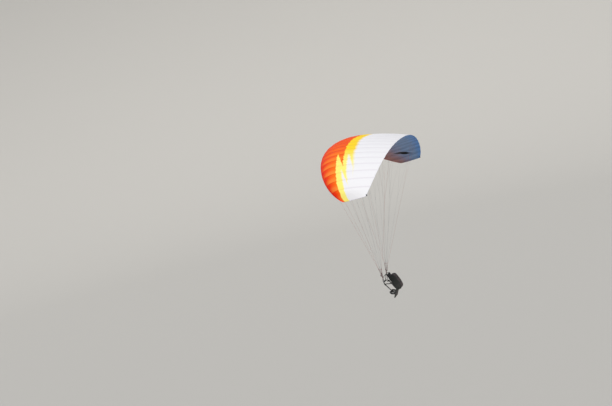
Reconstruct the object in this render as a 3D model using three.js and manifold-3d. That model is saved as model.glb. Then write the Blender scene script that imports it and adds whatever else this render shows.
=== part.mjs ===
// Speed wing: a small ram-air paraglider in flight, with its lines, risers, brake toggles and harness.
// Millimetres. +X is the wearer's left, +Y is aft, +Z is the wing's up, and flight is towards -Y.
// The origin is on the centre section's chord line, at 30 % of the chord.
import * as THREE from "three";
import { mergeVertices } from "three/addons/utils/BufferGeometryUtils.js";
import Module from "manifold-3d";

const wasm = await Module();
wasm.setup();

// Wing plan and arc
const ROOT_CHORD = 2300;
const TIP_CHORD = 694;
const HALF_SPAN = 3443; // along the cloth
const TIP_ANGLE = THREE.MathUtils.degToRad(42.2); // slope of the cloth at the tip
const ARC_POWER = 1.17; // how late the arc bends
const NOSE_SHARE = 0.72; // share of the chord's loss that the leading edge takes
const TIP_TWIST = THREE.MathUtils.degToRad(-5.4);
const CHORD_ORIGIN = 0.3;

// Aerofoil, as parts of the chord
const RIB_THICKNESS = 0.16;
const CELL_SWELL = 0.12; // how much thicker a cell is half way between its ribs
const CAMBER = 0.035;
const CAMBER_PLACE = 0.25;
const TAIL_THICKNESS = 12; // mm, both skins together at the trailing edge
const SKIN = 4;
const RIB_PLATE = 3;
const RIB_END = 0.9; // a full rib stops here, where the skins draw together
const RIB_PLAY = 1.3; // more room over the ribs that stand in the taper near the tips
const GAP = 0.3;

// Cells
const CELLS = 23;
const WRAP_END = 0.012; // the upper skin wraps the nose to here on the underside
const INLET_END = 0.075; // the lower skin starts here, behind the air inlets
const HINGE_PLACE = 0.775; // the skins end here in front of a flap
const TAIL_PLACE = 1.0;

// Flaps: the part of the trailing edge that a brake pulls down
const FLAP_TOP = 0.79;
const FLAP_UNDER = 0.85;
const FLAP_SIDE_GAP = 36;

// Suspension: the carabiners' lower bars lie on the harness's swing axis
const HANG = { x: 210, y: 134, z: -4302 };
const CARABINER = { height: 110, width: 60, rod: 11, outerCorner: 22, innerCorner: 7 };
const RISER_LENGTH = 430;
const RISER_WIDTH = 22;
const RISER_THICK = 3.5;
const LINE_ROWS = [
  { name: "a", place: 0.09, fork: 0.6, main: 2.4, branch: 1.8 },
  { name: "b", place: 0.34, fork: 0.6, main: 2.4, branch: 1.8 },
  { name: "c", place: 0.61, fork: 0.58, main: 2.4, branch: 1.8 },
];
const LINE_GROUPS = [[1, 3], [5, 7], [9, 11]]; // ribs that each main carries
const LINE_SIDES = 5;
const LINE_END_GAP = 0.9; // the line's end below the skin's seam
const KNOT = 8;
const FORK_KNOT = 6;
const KNOT_GAP = 0.1;
const SHACKLE = { height: 32, width: 26, rod: 4 };
const RISER_ROOT = 62; // above the upper bar, where the straps part

// Brakes: a toggle, a main line through a guide ring on the rear riser, and a fan to the flap's trailing edge
const BRAKE = {
  guideHeight: 0.72, // up the rear riser strap
  guideOut: 52, // outboard of the strap, so that the toggle passes the riser and carabiner
  guideAft: 6,
  toggleDrop: 42,
  fork: 0.6, // along the way from the ring to the fan's middle
  split: 0.55,
  main: 2.6,
  branch: 1.6,
  tailPlace: 0.985,
  cells: [4, 5, 6, 7],
};
const RING = { hole: 4.8, rod: 4, sides: 10, tabWidth: 12, tabThick: 3 };
const TOGGLE = { length: 118, width: 58, webbing: 20, thick: 5 };

// Harness: drawn upright about the swing axis, then leaned forwards as it is worn
const LEAN = THREE.MathUtils.degToRad(23);
const PAD = { width: 300, front: 195, back: 225, foot: -340, head: 175, chamfer: 8 };
const PACK = { depth: 190, height: 515, middle: -157.5 };
const SEAT = { width: 340, thick: 34, edge: 26, front: -7, foot: -542 };
const STRAP = 3;
const STRAP_WIDTHS = { hip: 30, side: 26, shoulder: 42 };
const EYE = { radius: 10.7, width: 20, sides: 8 };
const STACK = { length: 59, width: 26, thick: 9 }; // the stitched stack below each eye
const LEG_LOOP = { x: 88, radius: 84, width: 46, along: 0.58, sides: 14 };
const CHEST = { x: 142, y: -14, z: 26, width: 38, thick: 2, overlap: 18 };
const BUCKLE = { width: 52, height: 44, thick: 10, slot: 26, slotWidth: 12 };

const COLOURS = {
  flame: 0xd8401c,
  cloth: 0xf0eee8,
  underCloth: 0x6f8cb4,
  redLine: 0xb02a22,
  greyLine: 0x8f8f94,
  webbing: 0x26272b,
  pack: 0x35373c,
  alloy: 0x9ea3a8,
};

const object = new THREE.Group();
object.name = "speed_wing";

function finish(colour, metalness = 0) {
  return new THREE.MeshStandardMaterial({ color: colour, roughness: metalness ? 0.35 : 0.8, metalness });
}

function addPiece(name, geometry, colour, metalness = 0, parent = object) {
  const mesh = new THREE.Mesh(geometry, finish(colour, metalness));
  mesh.name = name;
  parent.add(mesh);
  return mesh;
}

// Solids

function signedVolume(points, faces) {
  let sum = 0;
  const cross = new THREE.Vector3();
  for (const [a, b, c] of faces) sum += points[a].dot(cross.crossVectors(points[b], points[c]));
  return sum / 6;
}

function makeGeometry(points, faces) {
  const outward = signedVolume(points, faces) > 0;
  const geometry = new THREE.BufferGeometry();
  geometry.setAttribute("position", new THREE.Float32BufferAttribute(points.flatMap((p) => p.toArray()), 3));
  geometry.setIndex(faces.flatMap(([a, b, c]) => (outward ? [a, b, c] : [a, c, b])));
  return geometry;
}

// A closed skin over rings of equal length; outline holds one ring's flat shape, for the two end caps
function loft(rings, outline = null) {
  const count = rings[0].length;
  const points = rings.flat();
  const faces = [];
  const last = rings.length - 1;
  const spans = outline ? last : rings.length;
  for (let i = 0; i < spans; i++) {
    const near = i * count;
    const far = ((i + 1) % rings.length) * count;
    for (let j = 0; j < count; j++) {
      const k = (j + 1) % count;
      faces.push([near + j, near + k, far + k], [near + j, far + k, far + j]);
    }
  }
  if (outline) {
    const caps = THREE.ShapeUtils.triangulateShape(outline, []);
    const sign = THREE.ShapeUtils.isClockWise(outline) ? -1 : 1;
    for (const [a, b, c] of caps) {
      const [p, q] = sign > 0 ? [b, c] : [c, b];
      faces.push([a, q, p], [last * count + a, last * count + p, last * count + q]);
    }
  }
  return makeGeometry(points, faces);
}

function toSolid(geometry) {
  const plain = geometry.clone();
  plain.deleteAttribute("normal");
  plain.deleteAttribute("uv");
  const merged = mergeVertices(plain, 1e-4);
  const mesh = new wasm.Mesh({
    numProp: 3,
    vertProperties: new Float32Array(merged.attributes.position.array),
    triVerts: new Uint32Array(merged.index.array),
  });
  return new wasm.Manifold(mesh);
}

function fromSolid(solid) {
  const mesh = solid.getMesh();
  const geometry = new THREE.BufferGeometry();
  geometry.setAttribute("position", new THREE.Float32BufferAttribute(mesh.vertProperties, 3));
  geometry.setIndex(Array.from(mesh.triVerts));
  return geometry;
}

function join(geometries) {
  return fromSolid(geometries.map((g) => toSolid(g)).reduce((sum, next) => sum.add(next)));
}

// A straight rod with flat ends
function rod(from, to, diameter, sides = LINE_SIDES) {
  const along = to.clone().sub(from);
  const geometry = new THREE.CylinderGeometry(diameter / 2, diameter / 2, along.length(), sides);
  geometry.applyQuaternion(
    new THREE.Quaternion().setFromUnitVectors(new THREE.Vector3(0, 1, 0), along.clone().normalize()),
  );
  geometry.translate(...from.clone().add(to).multiplyScalar(0.5).toArray());
  return geometry;
}

function ball(centre, diameter) {
  const geometry = new THREE.IcosahedronGeometry(diameter / 2, 0);
  geometry.translate(centre.x, centre.y, centre.z);
  return geometry;
}

function ringPath(centre, radius, one, other, count, offset = 0) {
  return Array.from({ length: count }, (_, i) => {
    const angle = ((i + offset) / count) * 2 * Math.PI;
    return centre.clone()
      .addScaledVector(one, radius * Math.cos(angle))
      .addScaledVector(other, radius * Math.sin(angle));
  });
}

// Webbing: a flat band through points, its width along one direction; closed bands join end to end
function band(points, width, thickness, across, closed = false) {
  const count = points.length;
  const outline = [[-1, -1], [1, -1], [1, 1], [-1, 1]].map(([u, v]) => new THREE.Vector2(u, v));
  const rings = points.map((point, i) => {
    const before = points[closed ? (i + count - 1) % count : Math.max(i - 1, 0)];
    const after = points[closed ? (i + 1) % count : Math.min(i + 1, count - 1)];
    const incoming = point.clone().sub(before).normalize();
    const outgoing = after.clone().sub(point).normalize();
    const along = incoming.clone().add(outgoing).normalize();
    const side = across.clone().addScaledVector(along, -across.dot(along)).normalize();
    const face = along.clone().cross(side);
    const bends = closed || (i > 0 && i < count - 1);
    const mitre = bends ? Math.max(outgoing.dot(along), 0.5) : 1;
    return outline.map((corner) =>
      point.clone()
        .addScaledVector(side, (corner.x * width) / 2)
        .addScaledVector(face, (corner.y * thickness) / 2 / mitre),
    );
  });
  return loft(rings, closed ? null : outline);
}

// Wing surface

function chordAt(s) {
  const loss = 1 - (TIP_CHORD / ROOT_CHORD) ** 2;
  return ROOT_CHORD * Math.sqrt(1 - loss * s * s);
}

const ARC_STEPS = 200;

// Where the chord line's nose lies, and the directions of the chord and of the section's up
function sectionAt(u) {
  const side = u < 0 ? -1 : 1;
  const s = Math.abs(u);
  let across = 0;
  let drop = 0;
  for (let i = 0; i < ARC_STEPS; i++) {
    const slope = TIP_ANGLE * (((i + 0.5) / ARC_STEPS) * s) ** ARC_POWER;
    across += (Math.cos(slope) * s * HALF_SPAN) / ARC_STEPS;
    drop += (Math.sin(slope) * s * HALF_SPAN) / ARC_STEPS;
  }
  const slope = TIP_ANGLE * s ** ARC_POWER;
  const chord = chordAt(s);
  const twist = TIP_TWIST * s * s;
  const normal = new THREE.Vector3(side * Math.sin(slope), 0, Math.cos(slope));
  const aft = new THREE.Vector3(0, 1, 0);
  return {
    chord,
    nose: new THREE.Vector3(side * across, -CHORD_ORIGIN * ROOT_CHORD + (ROOT_CHORD - chord) * NOSE_SHARE, -drop),
    aft: aft.clone().multiplyScalar(Math.cos(twist)).addScaledVector(normal, -Math.sin(twist)),
    up: normal.clone().multiplyScalar(Math.cos(twist)).addScaledVector(aft, Math.sin(twist)),
    out: new THREE.Vector3(Math.cos(slope), 0, -side * Math.sin(slope)),
  };
}

// The aerofoil's height over the chord line, in parts of the chord
function halfThickness(x, thickness) {
  return 5 * thickness * (0.2969 * Math.sqrt(x) - 0.126 * x - 0.3516 * x ** 2 + 0.2843 * x ** 3 - 0.1036 * x ** 4);
}

function camberLine(x) {
  if (x < CAMBER_PLACE) return (CAMBER / CAMBER_PLACE ** 2) * (2 * CAMBER_PLACE * x - x * x);
  return (CAMBER / (1 - CAMBER_PLACE) ** 2) * (1 - 2 * CAMBER_PLACE + 2 * CAMBER_PLACE * x - x * x);
}

// One point of the outer skin, top +1 or under -1, in mm along and over the chord, moved in by depth
function skinPoint(x, face, chord, swell, depth) {
  const height = (place) => {
    const p = Math.max(place, 0);
    const half = halfThickness(p, RIB_THICKNESS * (1 + CELL_SWELL * swell)) * chord + (TAIL_THICKNESS / 2) * p;
    return camberLine(p) * chord + face * half;
  };
  if (x <= 0) return new THREE.Vector2(depth, 0);
  const step = Math.min(0.002, x / 2);
  const slope = (height(x + step) - height(x - step)) / (2 * step * chord);
  const length = Math.hypot(1, slope);
  return new THREE.Vector2(
    x * chord + (face * slope * depth) / length,
    height(x) - (face * depth) / length,
  );
}

const TOP_PLACES = [0.9, 0.76, 0.6, 0.45, 0.33, 0.22, 0.13, 0.065, 0.022, 0.005];
const UNDER_PLACES = [0.13, 0.25, 0.4, 0.58, 0.76, 0.9];

function upperOutline(chord, swell, tail, wrap) {
  const places = [tail, ...TOP_PLACES.filter((x) => x < tail - 0.02)].map((x) => [x, 1]);
  const nose = [[0, 1], [0.004, -1], [WRAP_END, -1]];
  if (wrap > WRAP_END) nose.push([0.03, -1], [wrap, -1]);
  const route = [...places, ...nose];
  const outer = route.map(([x, face]) => skinPoint(x, face, chord, swell, 0));
  const inner = route.map(([x, face]) => skinPoint(x, face, chord, swell, SKIN)).reverse();
  return [...outer, ...inner];
}

function lowerOutline(chord, swell, tail, start) {
  const places = [start, ...UNDER_PLACES.filter((x) => x > start && x < tail - 0.02), tail];
  const outer = places.map((x) => skinPoint(x, -1, chord, swell, 0));
  const inner = places.map((x) => skinPoint(x, -1, chord, swell, SKIN)).reverse();
  return [...outer, ...inner];
}

// A rib fills the section between the skins and sinks half way into the lower skin
function ribOutline(chord, tail, start) {
  const end = tail < TAIL_PLACE ? tail : RIB_END;
  const play = RIB_PLAY * (ROOT_CHORD / chord - 1);
  const top = [end, ...TOP_PLACES.filter((x) => x < end - 0.02)].filter((x) => x > 0.012);
  const under = [start, ...UNDER_PLACES.filter((x) => x > start && x < end - 0.02), end];
  return [
    ...top.map((x) => skinPoint(x, 1, chord, 0, SKIN + 2 * GAP + play)),
    ...under.map((x) => skinPoint(x, -1, chord, 0, SKIN / 2)),
  ];
}

function placeOutline(section, outline, shift = 0) {
  return outline.map((p) =>
    section.nose.clone()
      .addScaledVector(section.aft, p.x)
      .addScaledVector(section.up, p.y)
      .addScaledVector(section.out, shift),
  );
}

const ribSpan = (rib) => (Math.sign(rib) * (2 * Math.abs(rib) - 1)) / CELLS;

// The ribs at the two sides of each cell in a run, counted outwards; the centre run goes across the middle
function cellStations(ribs) {
  const stations = [];
  for (let i = 0; i < ribs.length; i++) {
    stations.push({ u: ribSpan(ribs[i]), swell: 0 });
    if (i < ribs.length - 1) stations.push({ u: (ribSpan(ribs[i]) + ribSpan(ribs[i + 1])) / 2, swell: 1 });
  }
  return stations;
}

// One closed skin over a run of cells, a hair short of the next run at each end
function skinOver(ribs, outlineAt) {
  const stations = cellStations(ribs);
  const last = stations.length - 1;
  const direction = Math.sign(stations[last].u - stations[0].u);
  const rings = stations.map(({ u, swell }, i) => {
    const section = sectionAt(u);
    const shift = (i === 0 ? 1 : i === last ? -1 : 0) * (GAP / 2) * direction;
    return placeOutline(section, outlineAt(section.chord, swell), shift);
  });
  return loft(rings, outlineAt(ROOT_CHORD, 0));
}

function ribPlate(rib, tail, start, shift) {
  const section = sectionAt(ribSpan(rib));
  const outline = ribOutline(section.chord, tail, start);
  const rings = [-0.5, 0.5].map((side) => placeOutline(section, outline, shift + side * RIB_PLATE));
  return loft(rings, outline);
}

// Canopy runs: the ribs that bound each run's cells, how far aft its skins go, and where its nose closes
const RUNS = [
  { name: "inner", ribs: [2, 3, 4], tail: TAIL_PLACE, closed: false },
  { name: "mid", ribs: [4, 5, 6, 7, 8], tail: HINGE_PLACE, closed: false },
  { name: "outer", ribs: [8, 9, 10], tail: TAIL_PLACE, closed: false },
  { name: "tip", ribs: [10, 11, 12], tail: TAIL_PLACE, closed: true },
];
const SIDES = [
  { name: "left", sign: 1 },
  { name: "right", sign: -1 },
];
const RIB_INSET = RIB_PLATE / 2 + GAP;

function addRun(name, ribs, tail, closed) {
  const start = INLET_END;
  const wrap = closed ? INLET_END - 0.004 : WRAP_END;
  const upper = skinOver(ribs, (chord, swell) => upperOutline(chord, swell, tail, wrap));
  const lower = skinOver(ribs, (chord, swell) => lowerOutline(chord, swell, tail, start));
  const direction = Math.sign(ribs[ribs.length - 1] - ribs[0]);
  const plates = ribs.map((rib, i) => {
    if (i === ribs.length - 1) return ribPlate(rib, tail, start, -RIB_INSET * direction);
    if (i === 0) return name === "centre" ? ribPlate(rib, tail, start, RIB_INSET * direction) : null;
    return ribPlate(rib, tail, start, 0);
  });
  addPiece(`${name}_upper_skin`, upper, COLOURS.flame);
  addPiece(`${name}_lower_skin_and_ribs`, join([lower, ...plates.filter(Boolean)]), COLOURS.underCloth);
}

addRun("centre", [-2, -1, 1, 2], TAIL_PLACE, false);
for (const { name, sign } of SIDES) {
  for (const run of RUNS) {
    addRun(`${name}_${run.name}`, run.ribs.map((rib) => rib * sign), run.tail, run.closed);
  }
}

// Trailing edge flaps: upper and lower cloth joined at the trailing edge, open at the front

function flapOutline(chord, swell) {
  const top = [FLAP_TOP, 0.86, 0.93, TAIL_PLACE].map((x) => [x, 1]);
  const under = [TAIL_PLACE, 0.93, 0.89, FLAP_UNDER].map((x) => [x, -1]);
  const outer = [...top, ...under].map(([x, face]) => skinPoint(x, face, chord, swell, 0));
  const innerTop = [0.97, 0.93, 0.86, FLAP_TOP].map((x) => skinPoint(x, 1, chord, swell, SKIN));
  const innerUnder = [FLAP_UNDER, 0.89, 0.93, 0.97].map((x) => skinPoint(x, -1, chord, swell, SKIN));
  return [...outer, ...innerUnder, ...innerTop];
}

for (const { name, sign } of SIDES) {
  const ribs = RUNS[1].ribs.map((rib) => rib * sign);
  const stations = cellStations(ribs);
  const last = stations.length - 1;
  const rings = stations.map(({ u, swell }, i) => {
    const section = sectionAt(u);
    const shift = (i === 0 ? 1 : i === last ? -1 : 0) * FLAP_SIDE_GAP * sign;
    return placeOutline(section, flapOutline(section.chord, swell), shift);
  });
  addPiece(`${name}_brake_flap`, loft(rings, flapOutline(ROOT_CHORD, 0)), COLOURS.cloth);
}

// Suspension lines

const BAR_GAP = CARABINER.height - CARABINER.rod; // between the carabiner's two bars
const onSkin = (u, place, below) => {
  const section = sectionAt(u);
  const point = skinPoint(place, -1, section.chord, 0, -below);
  return placeOutline(section, [point])[0];
};
const mean = (points) => points.reduce((sum, p) => sum.add(p), new THREE.Vector3()).divideScalar(points.length);
const towards = (from, to, length) => from.clone().addScaledVector(to.clone().sub(from).normalize(), length);


function riserPlaces(sign) {
  const bar = new THREE.Vector3(sign * HANG.x, HANG.y, HANG.z + BAR_GAP);
  const root = bar.clone().setZ(bar.z + RISER_ROOT);
  const tops = LINE_ROWS.map(({ place }) => {
    const ends = LINE_GROUPS.flat().map((rib) => onSkin(sign * ribSpan(rib), place, 0));
    return towards(root, mean(ends), RISER_LENGTH - RISER_ROOT);
  });
  return { bar, root, tops };
}

function lineRow(sign, row, top, root) {
  const start = towards(top, root, -(SHACKLE.height - SHACKLE.rod / 2 + KNOT / 2 + KNOT_GAP));
  const pieces = [ball(start, KNOT)];
  for (const ribs of LINE_GROUPS) {
    const ends = ribs.map((rib) => onSkin(sign * ribSpan(rib), row.place, LINE_END_GAP));
    const fork = start.clone().lerp(mean(ends), row.fork);
    pieces.push(rod(start, fork, row.main), ball(fork, FORK_KNOT));
    for (const end of ends) pieces.push(rod(fork, end, row.branch));
  }
  return join(pieces);
}

// Risers: webbing from the carabiner's upper bar to a shackle for each line row

const LOOP_SIDE = CARABINER.rod / 2 + 1 + RISER_THICK / 2;
const LOOP_FOOT = CARABINER.rod / 2 + GAP + RISER_THICK / 2;

function shackle(top, root, across) {
  const up = top.clone().sub(root).normalize();
  const side = across.clone().addScaledVector(up, -across.dot(up)).normalize();
  const half = (SHACKLE.width - SHACKLE.rod) / 2;
  const corners = [[-0.6, 0], [0.6, 0], [1, 0.3], [1, 0.85], [0.6, 1], [-0.6, 1], [-1, 0.85], [-1, 0.3]];
  const path = corners.map(([u, v]) =>
    top.clone().addScaledVector(side, u * half).addScaledVector(up, v * (SHACKLE.height - SHACKLE.rod)),
  );
  return band(path, SHACKLE.rod, SHACKLE.rod, up.clone().cross(side), true);
}

function riser(sign, places, pulley) {
  const { bar, root, tops } = places;
  const across = new THREE.Vector3(1, 0, 0);
  const at = (y, z) => new THREE.Vector3(bar.x, bar.y + y, bar.z + z);
  const loop = [
    at(-LOOP_SIDE, -LOOP_FOOT), at(LOOP_SIDE, -LOOP_FOOT), at(LOOP_SIDE, 14), at(0, 40), at(-LOOP_SIDE, 14),
  ];
  const stack = new THREE.BoxGeometry(RISER_WIDTH + 1, 13, 44);
  stack.translate(bar.x, bar.y, bar.z + RISER_ROOT - 14);
  const pieces = [band(loop, RISER_WIDTH, RISER_THICK, across, true), stack];
  for (const top of tops) {
    pieces.push(band([root.clone().setZ(root.z - 8), root, top], RISER_WIDTH, RISER_THICK, across));
    pieces.push(shackle(top, root, across));
  }
  pieces.push(...pulley);
  return join(pieces);
}

function brakePlaces(sign, places) {
  const rear = places.root.clone().lerp(places.tops[2], BRAKE.guideHeight);
  const guide = rear.clone().add(new THREE.Vector3(sign * BRAKE.guideOut, BRAKE.guideAft, 0));
  const ends = BRAKE.cells.map((cell) => onSkin((sign * 2 * cell) / CELLS, BRAKE.tailPlace, 0));
  const along = mean(ends).sub(guide).normalize();
  return { rear, guide, along };
}

function brakeEnd(sign, cell) {
  const section = sectionAt((sign * 2 * cell) / CELLS);
  return placeOutline(section, [skinPoint(BRAKE.tailPlace, -1, section.chord, 1, -LINE_END_GAP)])[0];
}

function guideRing({ rear, guide, along }) {
  const radius = (RING.hole + RING.rod) / 2;
  const side = new THREE.Vector3(1, 0, 0).cross(along).normalize();
  const other = along.clone().cross(side);
  const ring = band(ringPath(guide, radius, side, other, RING.sides), RING.rod, RING.rod, along, true);
  const reach = towards(guide, rear, radius);
  const tab = band([reach, rear], RING.tabWidth, RING.tabThick, along);
  return [ring, tab];
}

function brakeLines(sign, { guide, along }) {
  const foot = guide.clone().addScaledVector(along, -BRAKE.toggleDrop);
  const ends = BRAKE.cells.map((cell) => brakeEnd(sign, cell));
  const reach = mean(ends).distanceTo(guide);
  const fork = guide.clone().addScaledVector(along, reach * BRAKE.fork);
  const pieces = [rod(foot, fork, BRAKE.main), ball(fork, FORK_KNOT)];
  for (const pair of [ends.slice(0, 2), ends.slice(2)]) {
    const split = fork.clone().lerp(mean(pair), BRAKE.split);
    pieces.push(rod(fork, split, BRAKE.branch), ball(split, FORK_KNOT));
    for (const end of pair) pieces.push(rod(split, end, BRAKE.branch));
  }
  return join(pieces);
}

// A hand loop of webbing below the guide ring, its plane fore and aft
function toggle({ guide, along }) {
  const foot = guide.clone().addScaledVector(along, -BRAKE.toggleDrop - GAP);
  const across = new THREE.Vector3(1, 0, 0);
  const side = across.clone().addScaledVector(along, -across.dot(along)).normalize();
  const fore = along.clone().cross(side);
  const place = (u, v) =>
    foot.clone().addScaledVector(fore, u * TOGGLE.width).addScaledVector(along, -v * TOGGLE.length);
  const path = [[0, 0.03], [0.18, 0.12], [0.42, 0.55], [0.45, 0.8], [0.28, 0.96], [0, 1]];
  const mirrored = path.slice(1, -1).reverse().map(([u, v]) => [-u, v]);
  const route = [...path, ...mirrored].map(([u, v]) => place(u, v));
  return band(route, TOGGLE.webbing, TOGGLE.thick, side, true);
}

// Carabiner: an oval ring whose lower bar lies on the harness's swing axis

function carabiner(sign) {
  const { height, width, rod: thick, outerCorner, innerCorner } = CARABINER;
  const oval = (path, w, h, r) => {
    path.moveTo(-w / 2, -h / 2 + r);
    path.absarc(-w / 2 + r, -h / 2 + r, r, Math.PI, 1.5 * Math.PI);
    path.absarc(w / 2 - r, -h / 2 + r, r, 1.5 * Math.PI, 2 * Math.PI);
    path.absarc(w / 2 - r, h / 2 - r, r, 0, 0.5 * Math.PI);
    path.absarc(-w / 2 + r, h / 2 - r, r, 0.5 * Math.PI, Math.PI);
    path.closePath();
    return path;
  };
  const shape = oval(new THREE.Shape(), width, height, outerCorner);
  shape.holes.push(oval(new THREE.Path(), width - 2 * thick, height - 2 * thick, innerCorner));
  const geometry = new THREE.ExtrudeGeometry(shape, { depth: thick, bevelEnabled: false, curveSegments: 4 });
  geometry.translate(0, 0, -thick / 2);
  geometry.rotateX(Math.PI / 2);
  geometry.translate(sign * HANG.x, HANG.y, HANG.z + BAR_GAP / 2);
  return geometry;
}

for (const { name, sign } of SIDES) {
  const places = riserPlaces(sign);
  const brake = brakePlaces(sign, places);
  LINE_ROWS.forEach((row, i) => {
    const colour = row.name === "a" ? COLOURS.redLine : COLOURS.greyLine;
    addPiece(`${name}_${row.name}_lines`, lineRow(sign, row, places.tops[i], places.root), colour);
  });
  addPiece(`${name}_riser`, riser(sign, places, guideRing(brake)), COLOURS.webbing);
  addPiece(`${name}_brake_lines`, brakeLines(sign, brake), COLOURS.redLine);
  addPiece(`${name}_brake_toggle`, toggle(brake), COLOURS.webbing);
  addPiece(`${name}_carabiner`, carabiner(sign), COLOURS.alloy, 0.9);
}

// Harness

const harness = new THREE.Group();
harness.position.set(0, HANG.y, HANG.z);
harness.rotation.x = LEAN;
object.add(harness);

const addHarness = (name, geometry, colour, metalness = 0) => addPiece(name, geometry, colour, metalness, harness);

// A side profile drawn in Y and Z, lofted across X; each slice is [x, depth, height], parts of the full profile
function sideSolid(profile, slices, front, middle) {
  const outline = profile.map(([y, z]) => new THREE.Vector2(y, z));
  const rings = slices.map(([x, depth, height]) =>
    profile.map(([y, z]) => new THREE.Vector3(x, front + (y - front) * depth, middle + (z - middle) * height)),
  );
  return loft(rings, outline);
}

const padMiddle = (PAD.foot + PAD.head) / 2;
const padProfile = [
  [PAD.front, PAD.foot], [PAD.back, PAD.foot], [PAD.back, PAD.head], [PAD.front + PAD.chamfer, PAD.head],
  [PAD.front, PAD.head - PAD.chamfer],
];
const padHalf = PAD.width / 2;
addHarness(
  "harness_back_pad",
  sideSolid(padProfile, [[-padHalf, 1, 1], [padHalf, 1, 1]], PAD.front, padMiddle),
  COLOURS.webbing,
);

const packFront = PAD.back + GAP;
const packProfile = [
  [0, -0.44], [0.55, -0.45], [0.86, -0.38], [0.98, -0.2], [1, 0.05], [0.93, 0.28], [0.74, 0.43], [0.4, 0.5], [0, 0.5],
].map(([y, z]) => [packFront + y * PACK.depth, PACK.middle + z * PACK.height]);
addHarness(
  "harness_container",
  sideSolid(
    packProfile,
    [[-160, 0.55, 0.86], [-146, 0.86, 0.96], [-110, 1, 1], [110, 1, 1], [146, 0.86, 0.96], [160, 0.55, 0.86]],
    packFront,
    PACK.middle,
  ),
  COLOURS.pack,
);

const seatSlope = new THREE.Vector2(SEAT.front - PAD.front, SEAT.foot - PAD.foot).normalize();
const seatDown = new THREE.Vector2(-seatSlope.y, seatSlope.x);
const seatTop = PAD.foot - 2 * GAP;
const seatUnder = [SEAT.front + Math.abs(seatDown.x) * SEAT.thick, SEAT.foot - Math.abs(seatDown.y) * SEAT.thick];
const seatProfile = [
  [PAD.front, seatTop], [PAD.back, seatTop], [PAD.back, seatTop - SEAT.edge], seatUnder, [SEAT.front, SEAT.foot],
];
addHarness(
  "harness_seat_board",
  sideSolid(seatProfile, [[-SEAT.width / 2, 1, 1], [SEAT.width / 2, 1, 1]], PAD.front, 0),
  COLOURS.webbing,
);

const vec = (x, y, z) => new THREE.Vector3(x, y, z);
const acrossX = vec(1, 0, 0);
// A flat frame with a slot for the strap, facing fore and aft
function buckle() {
  const { width, height, thick, slot, slotWidth } = BUCKLE;
  const shape = new THREE.Shape([
    [-0.5, -0.38], [-0.38, -0.5], [0.38, -0.5], [0.5, -0.38], [0.5, 0.38], [0.38, 0.5], [-0.38, 0.5], [-0.5, 0.38],
  ].map(([u, v]) => new THREE.Vector2(u * width, v * height)));
  const hole = [[-1, -1], [1, -1], [1, 1], [-1, 1]].map(([u, v]) =>
    new THREE.Vector2((u * slotWidth) / 2, (v * slot) / 2),
  );
  shape.holes.push(new THREE.Path(hole));
  const geometry = new THREE.ExtrudeGeometry(shape, { depth: thick, bevelEnabled: false });
  geometry.translate(0, 0, -thick / 2);
  geometry.rotateX(Math.PI / 2);
  return geometry;
}

// Strap routes on the left side: across, aft and up from the swing axis
const lie = GAP + STRAP / 2;
const seatSide = SEAT.width / 2 + lie;
const padSide = padHalf + lie;
const stackRoute = [[HANG.x, 0, -EYE.radius], [HANG.x - 3, 0, -EYE.radius - STACK.length]];
const hipRoute = [
  [HANG.x, 4, -EYE.radius], [HANG.x - 4, 34, -140], [seatSide + 9, 75, -345], [seatSide + 0.5, 113, -400],
  [seatSide, 131, -428],
];
const sideRoute = [
  [HANG.x, EYE.radius, -6], [HANG.x - 14, 80, -66], [padSide + 3, 183, -128], [padSide, 217, -142],
];
const shoulderRoute = [
  [HANG.x - 6, -2, -58], [HANG.x - 22, -8, -48], [CHEST.x + 10, CHEST.y, CHEST.z - 56],
  [CHEST.x, CHEST.y, CHEST.z - 34], [CHEST.x, CHEST.y, CHEST.z + 38],
  [139, 12, 118], [118, 72, 174], [98, 146, 194],
  [95, PAD.front + 12, PAD.head + lie + 0.6], [95, PAD.back - 2, PAD.head + lie],
];

for (const { name, sign } of SIDES) {
  const path = (points) => points.map(([x, y, z]) => vec(sign * x, y, z));
  const hang = vec(sign * HANG.x, 0, 0);
  const webbing = join([
    band(ringPath(hang, EYE.radius, vec(0, 0, 1), vec(0, 1, 0), EYE.sides), EYE.width, STRAP, acrossX, true),
    band(path(stackRoute), STACK.width, STACK.thick, acrossX),
    band(path(hipRoute), STRAP_WIDTHS.hip, STRAP, vec(0, 0.83, 0.55)),
    band(path(sideRoute), STRAP_WIDTHS.side, STRAP, vec(0, 0.2, 1)),
    band(path(shoulderRoute), STRAP_WIDTHS.shoulder, STRAP, acrossX),
  ]);
  addHarness(`harness_${name}_webbing`, webbing, COLOURS.webbing);

  const slope = vec(0, seatSlope.x, seatSlope.y);
  const away = vec(0, seatSlope.y, -seatSlope.x);
  const onSeat = vec(sign * LEG_LOOP.x, PAD.front, seatTop)
    .lerp(vec(sign * LEG_LOOP.x, SEAT.front, SEAT.foot), LEG_LOOP.along);
  const apothem = LEG_LOOP.radius * Math.cos(Math.PI / LEG_LOOP.sides);
  const centre = onSeat.clone().addScaledVector(away, apothem + STRAP / 2 + GAP);
  const ring = ringPath(centre, LEG_LOOP.radius, away, acrossX, LEG_LOOP.sides, 0.5);
  addHarness(`harness_${name}_leg_loop`, band(ring, LEG_LOOP.width, STRAP, slope, true), COLOURS.webbing);

  const clasp = buckle();
  clasp.rotateX(Math.atan2(away.z, away.y));
  clasp.translate(...centre.clone().addScaledVector(away, apothem + STRAP / 2 + GAP + BUCKLE.thick / 2).toArray());
  addHarness(`harness_${name}_leg_buckle`, clasp, COLOURS.alloy, 0.9);
}

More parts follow.
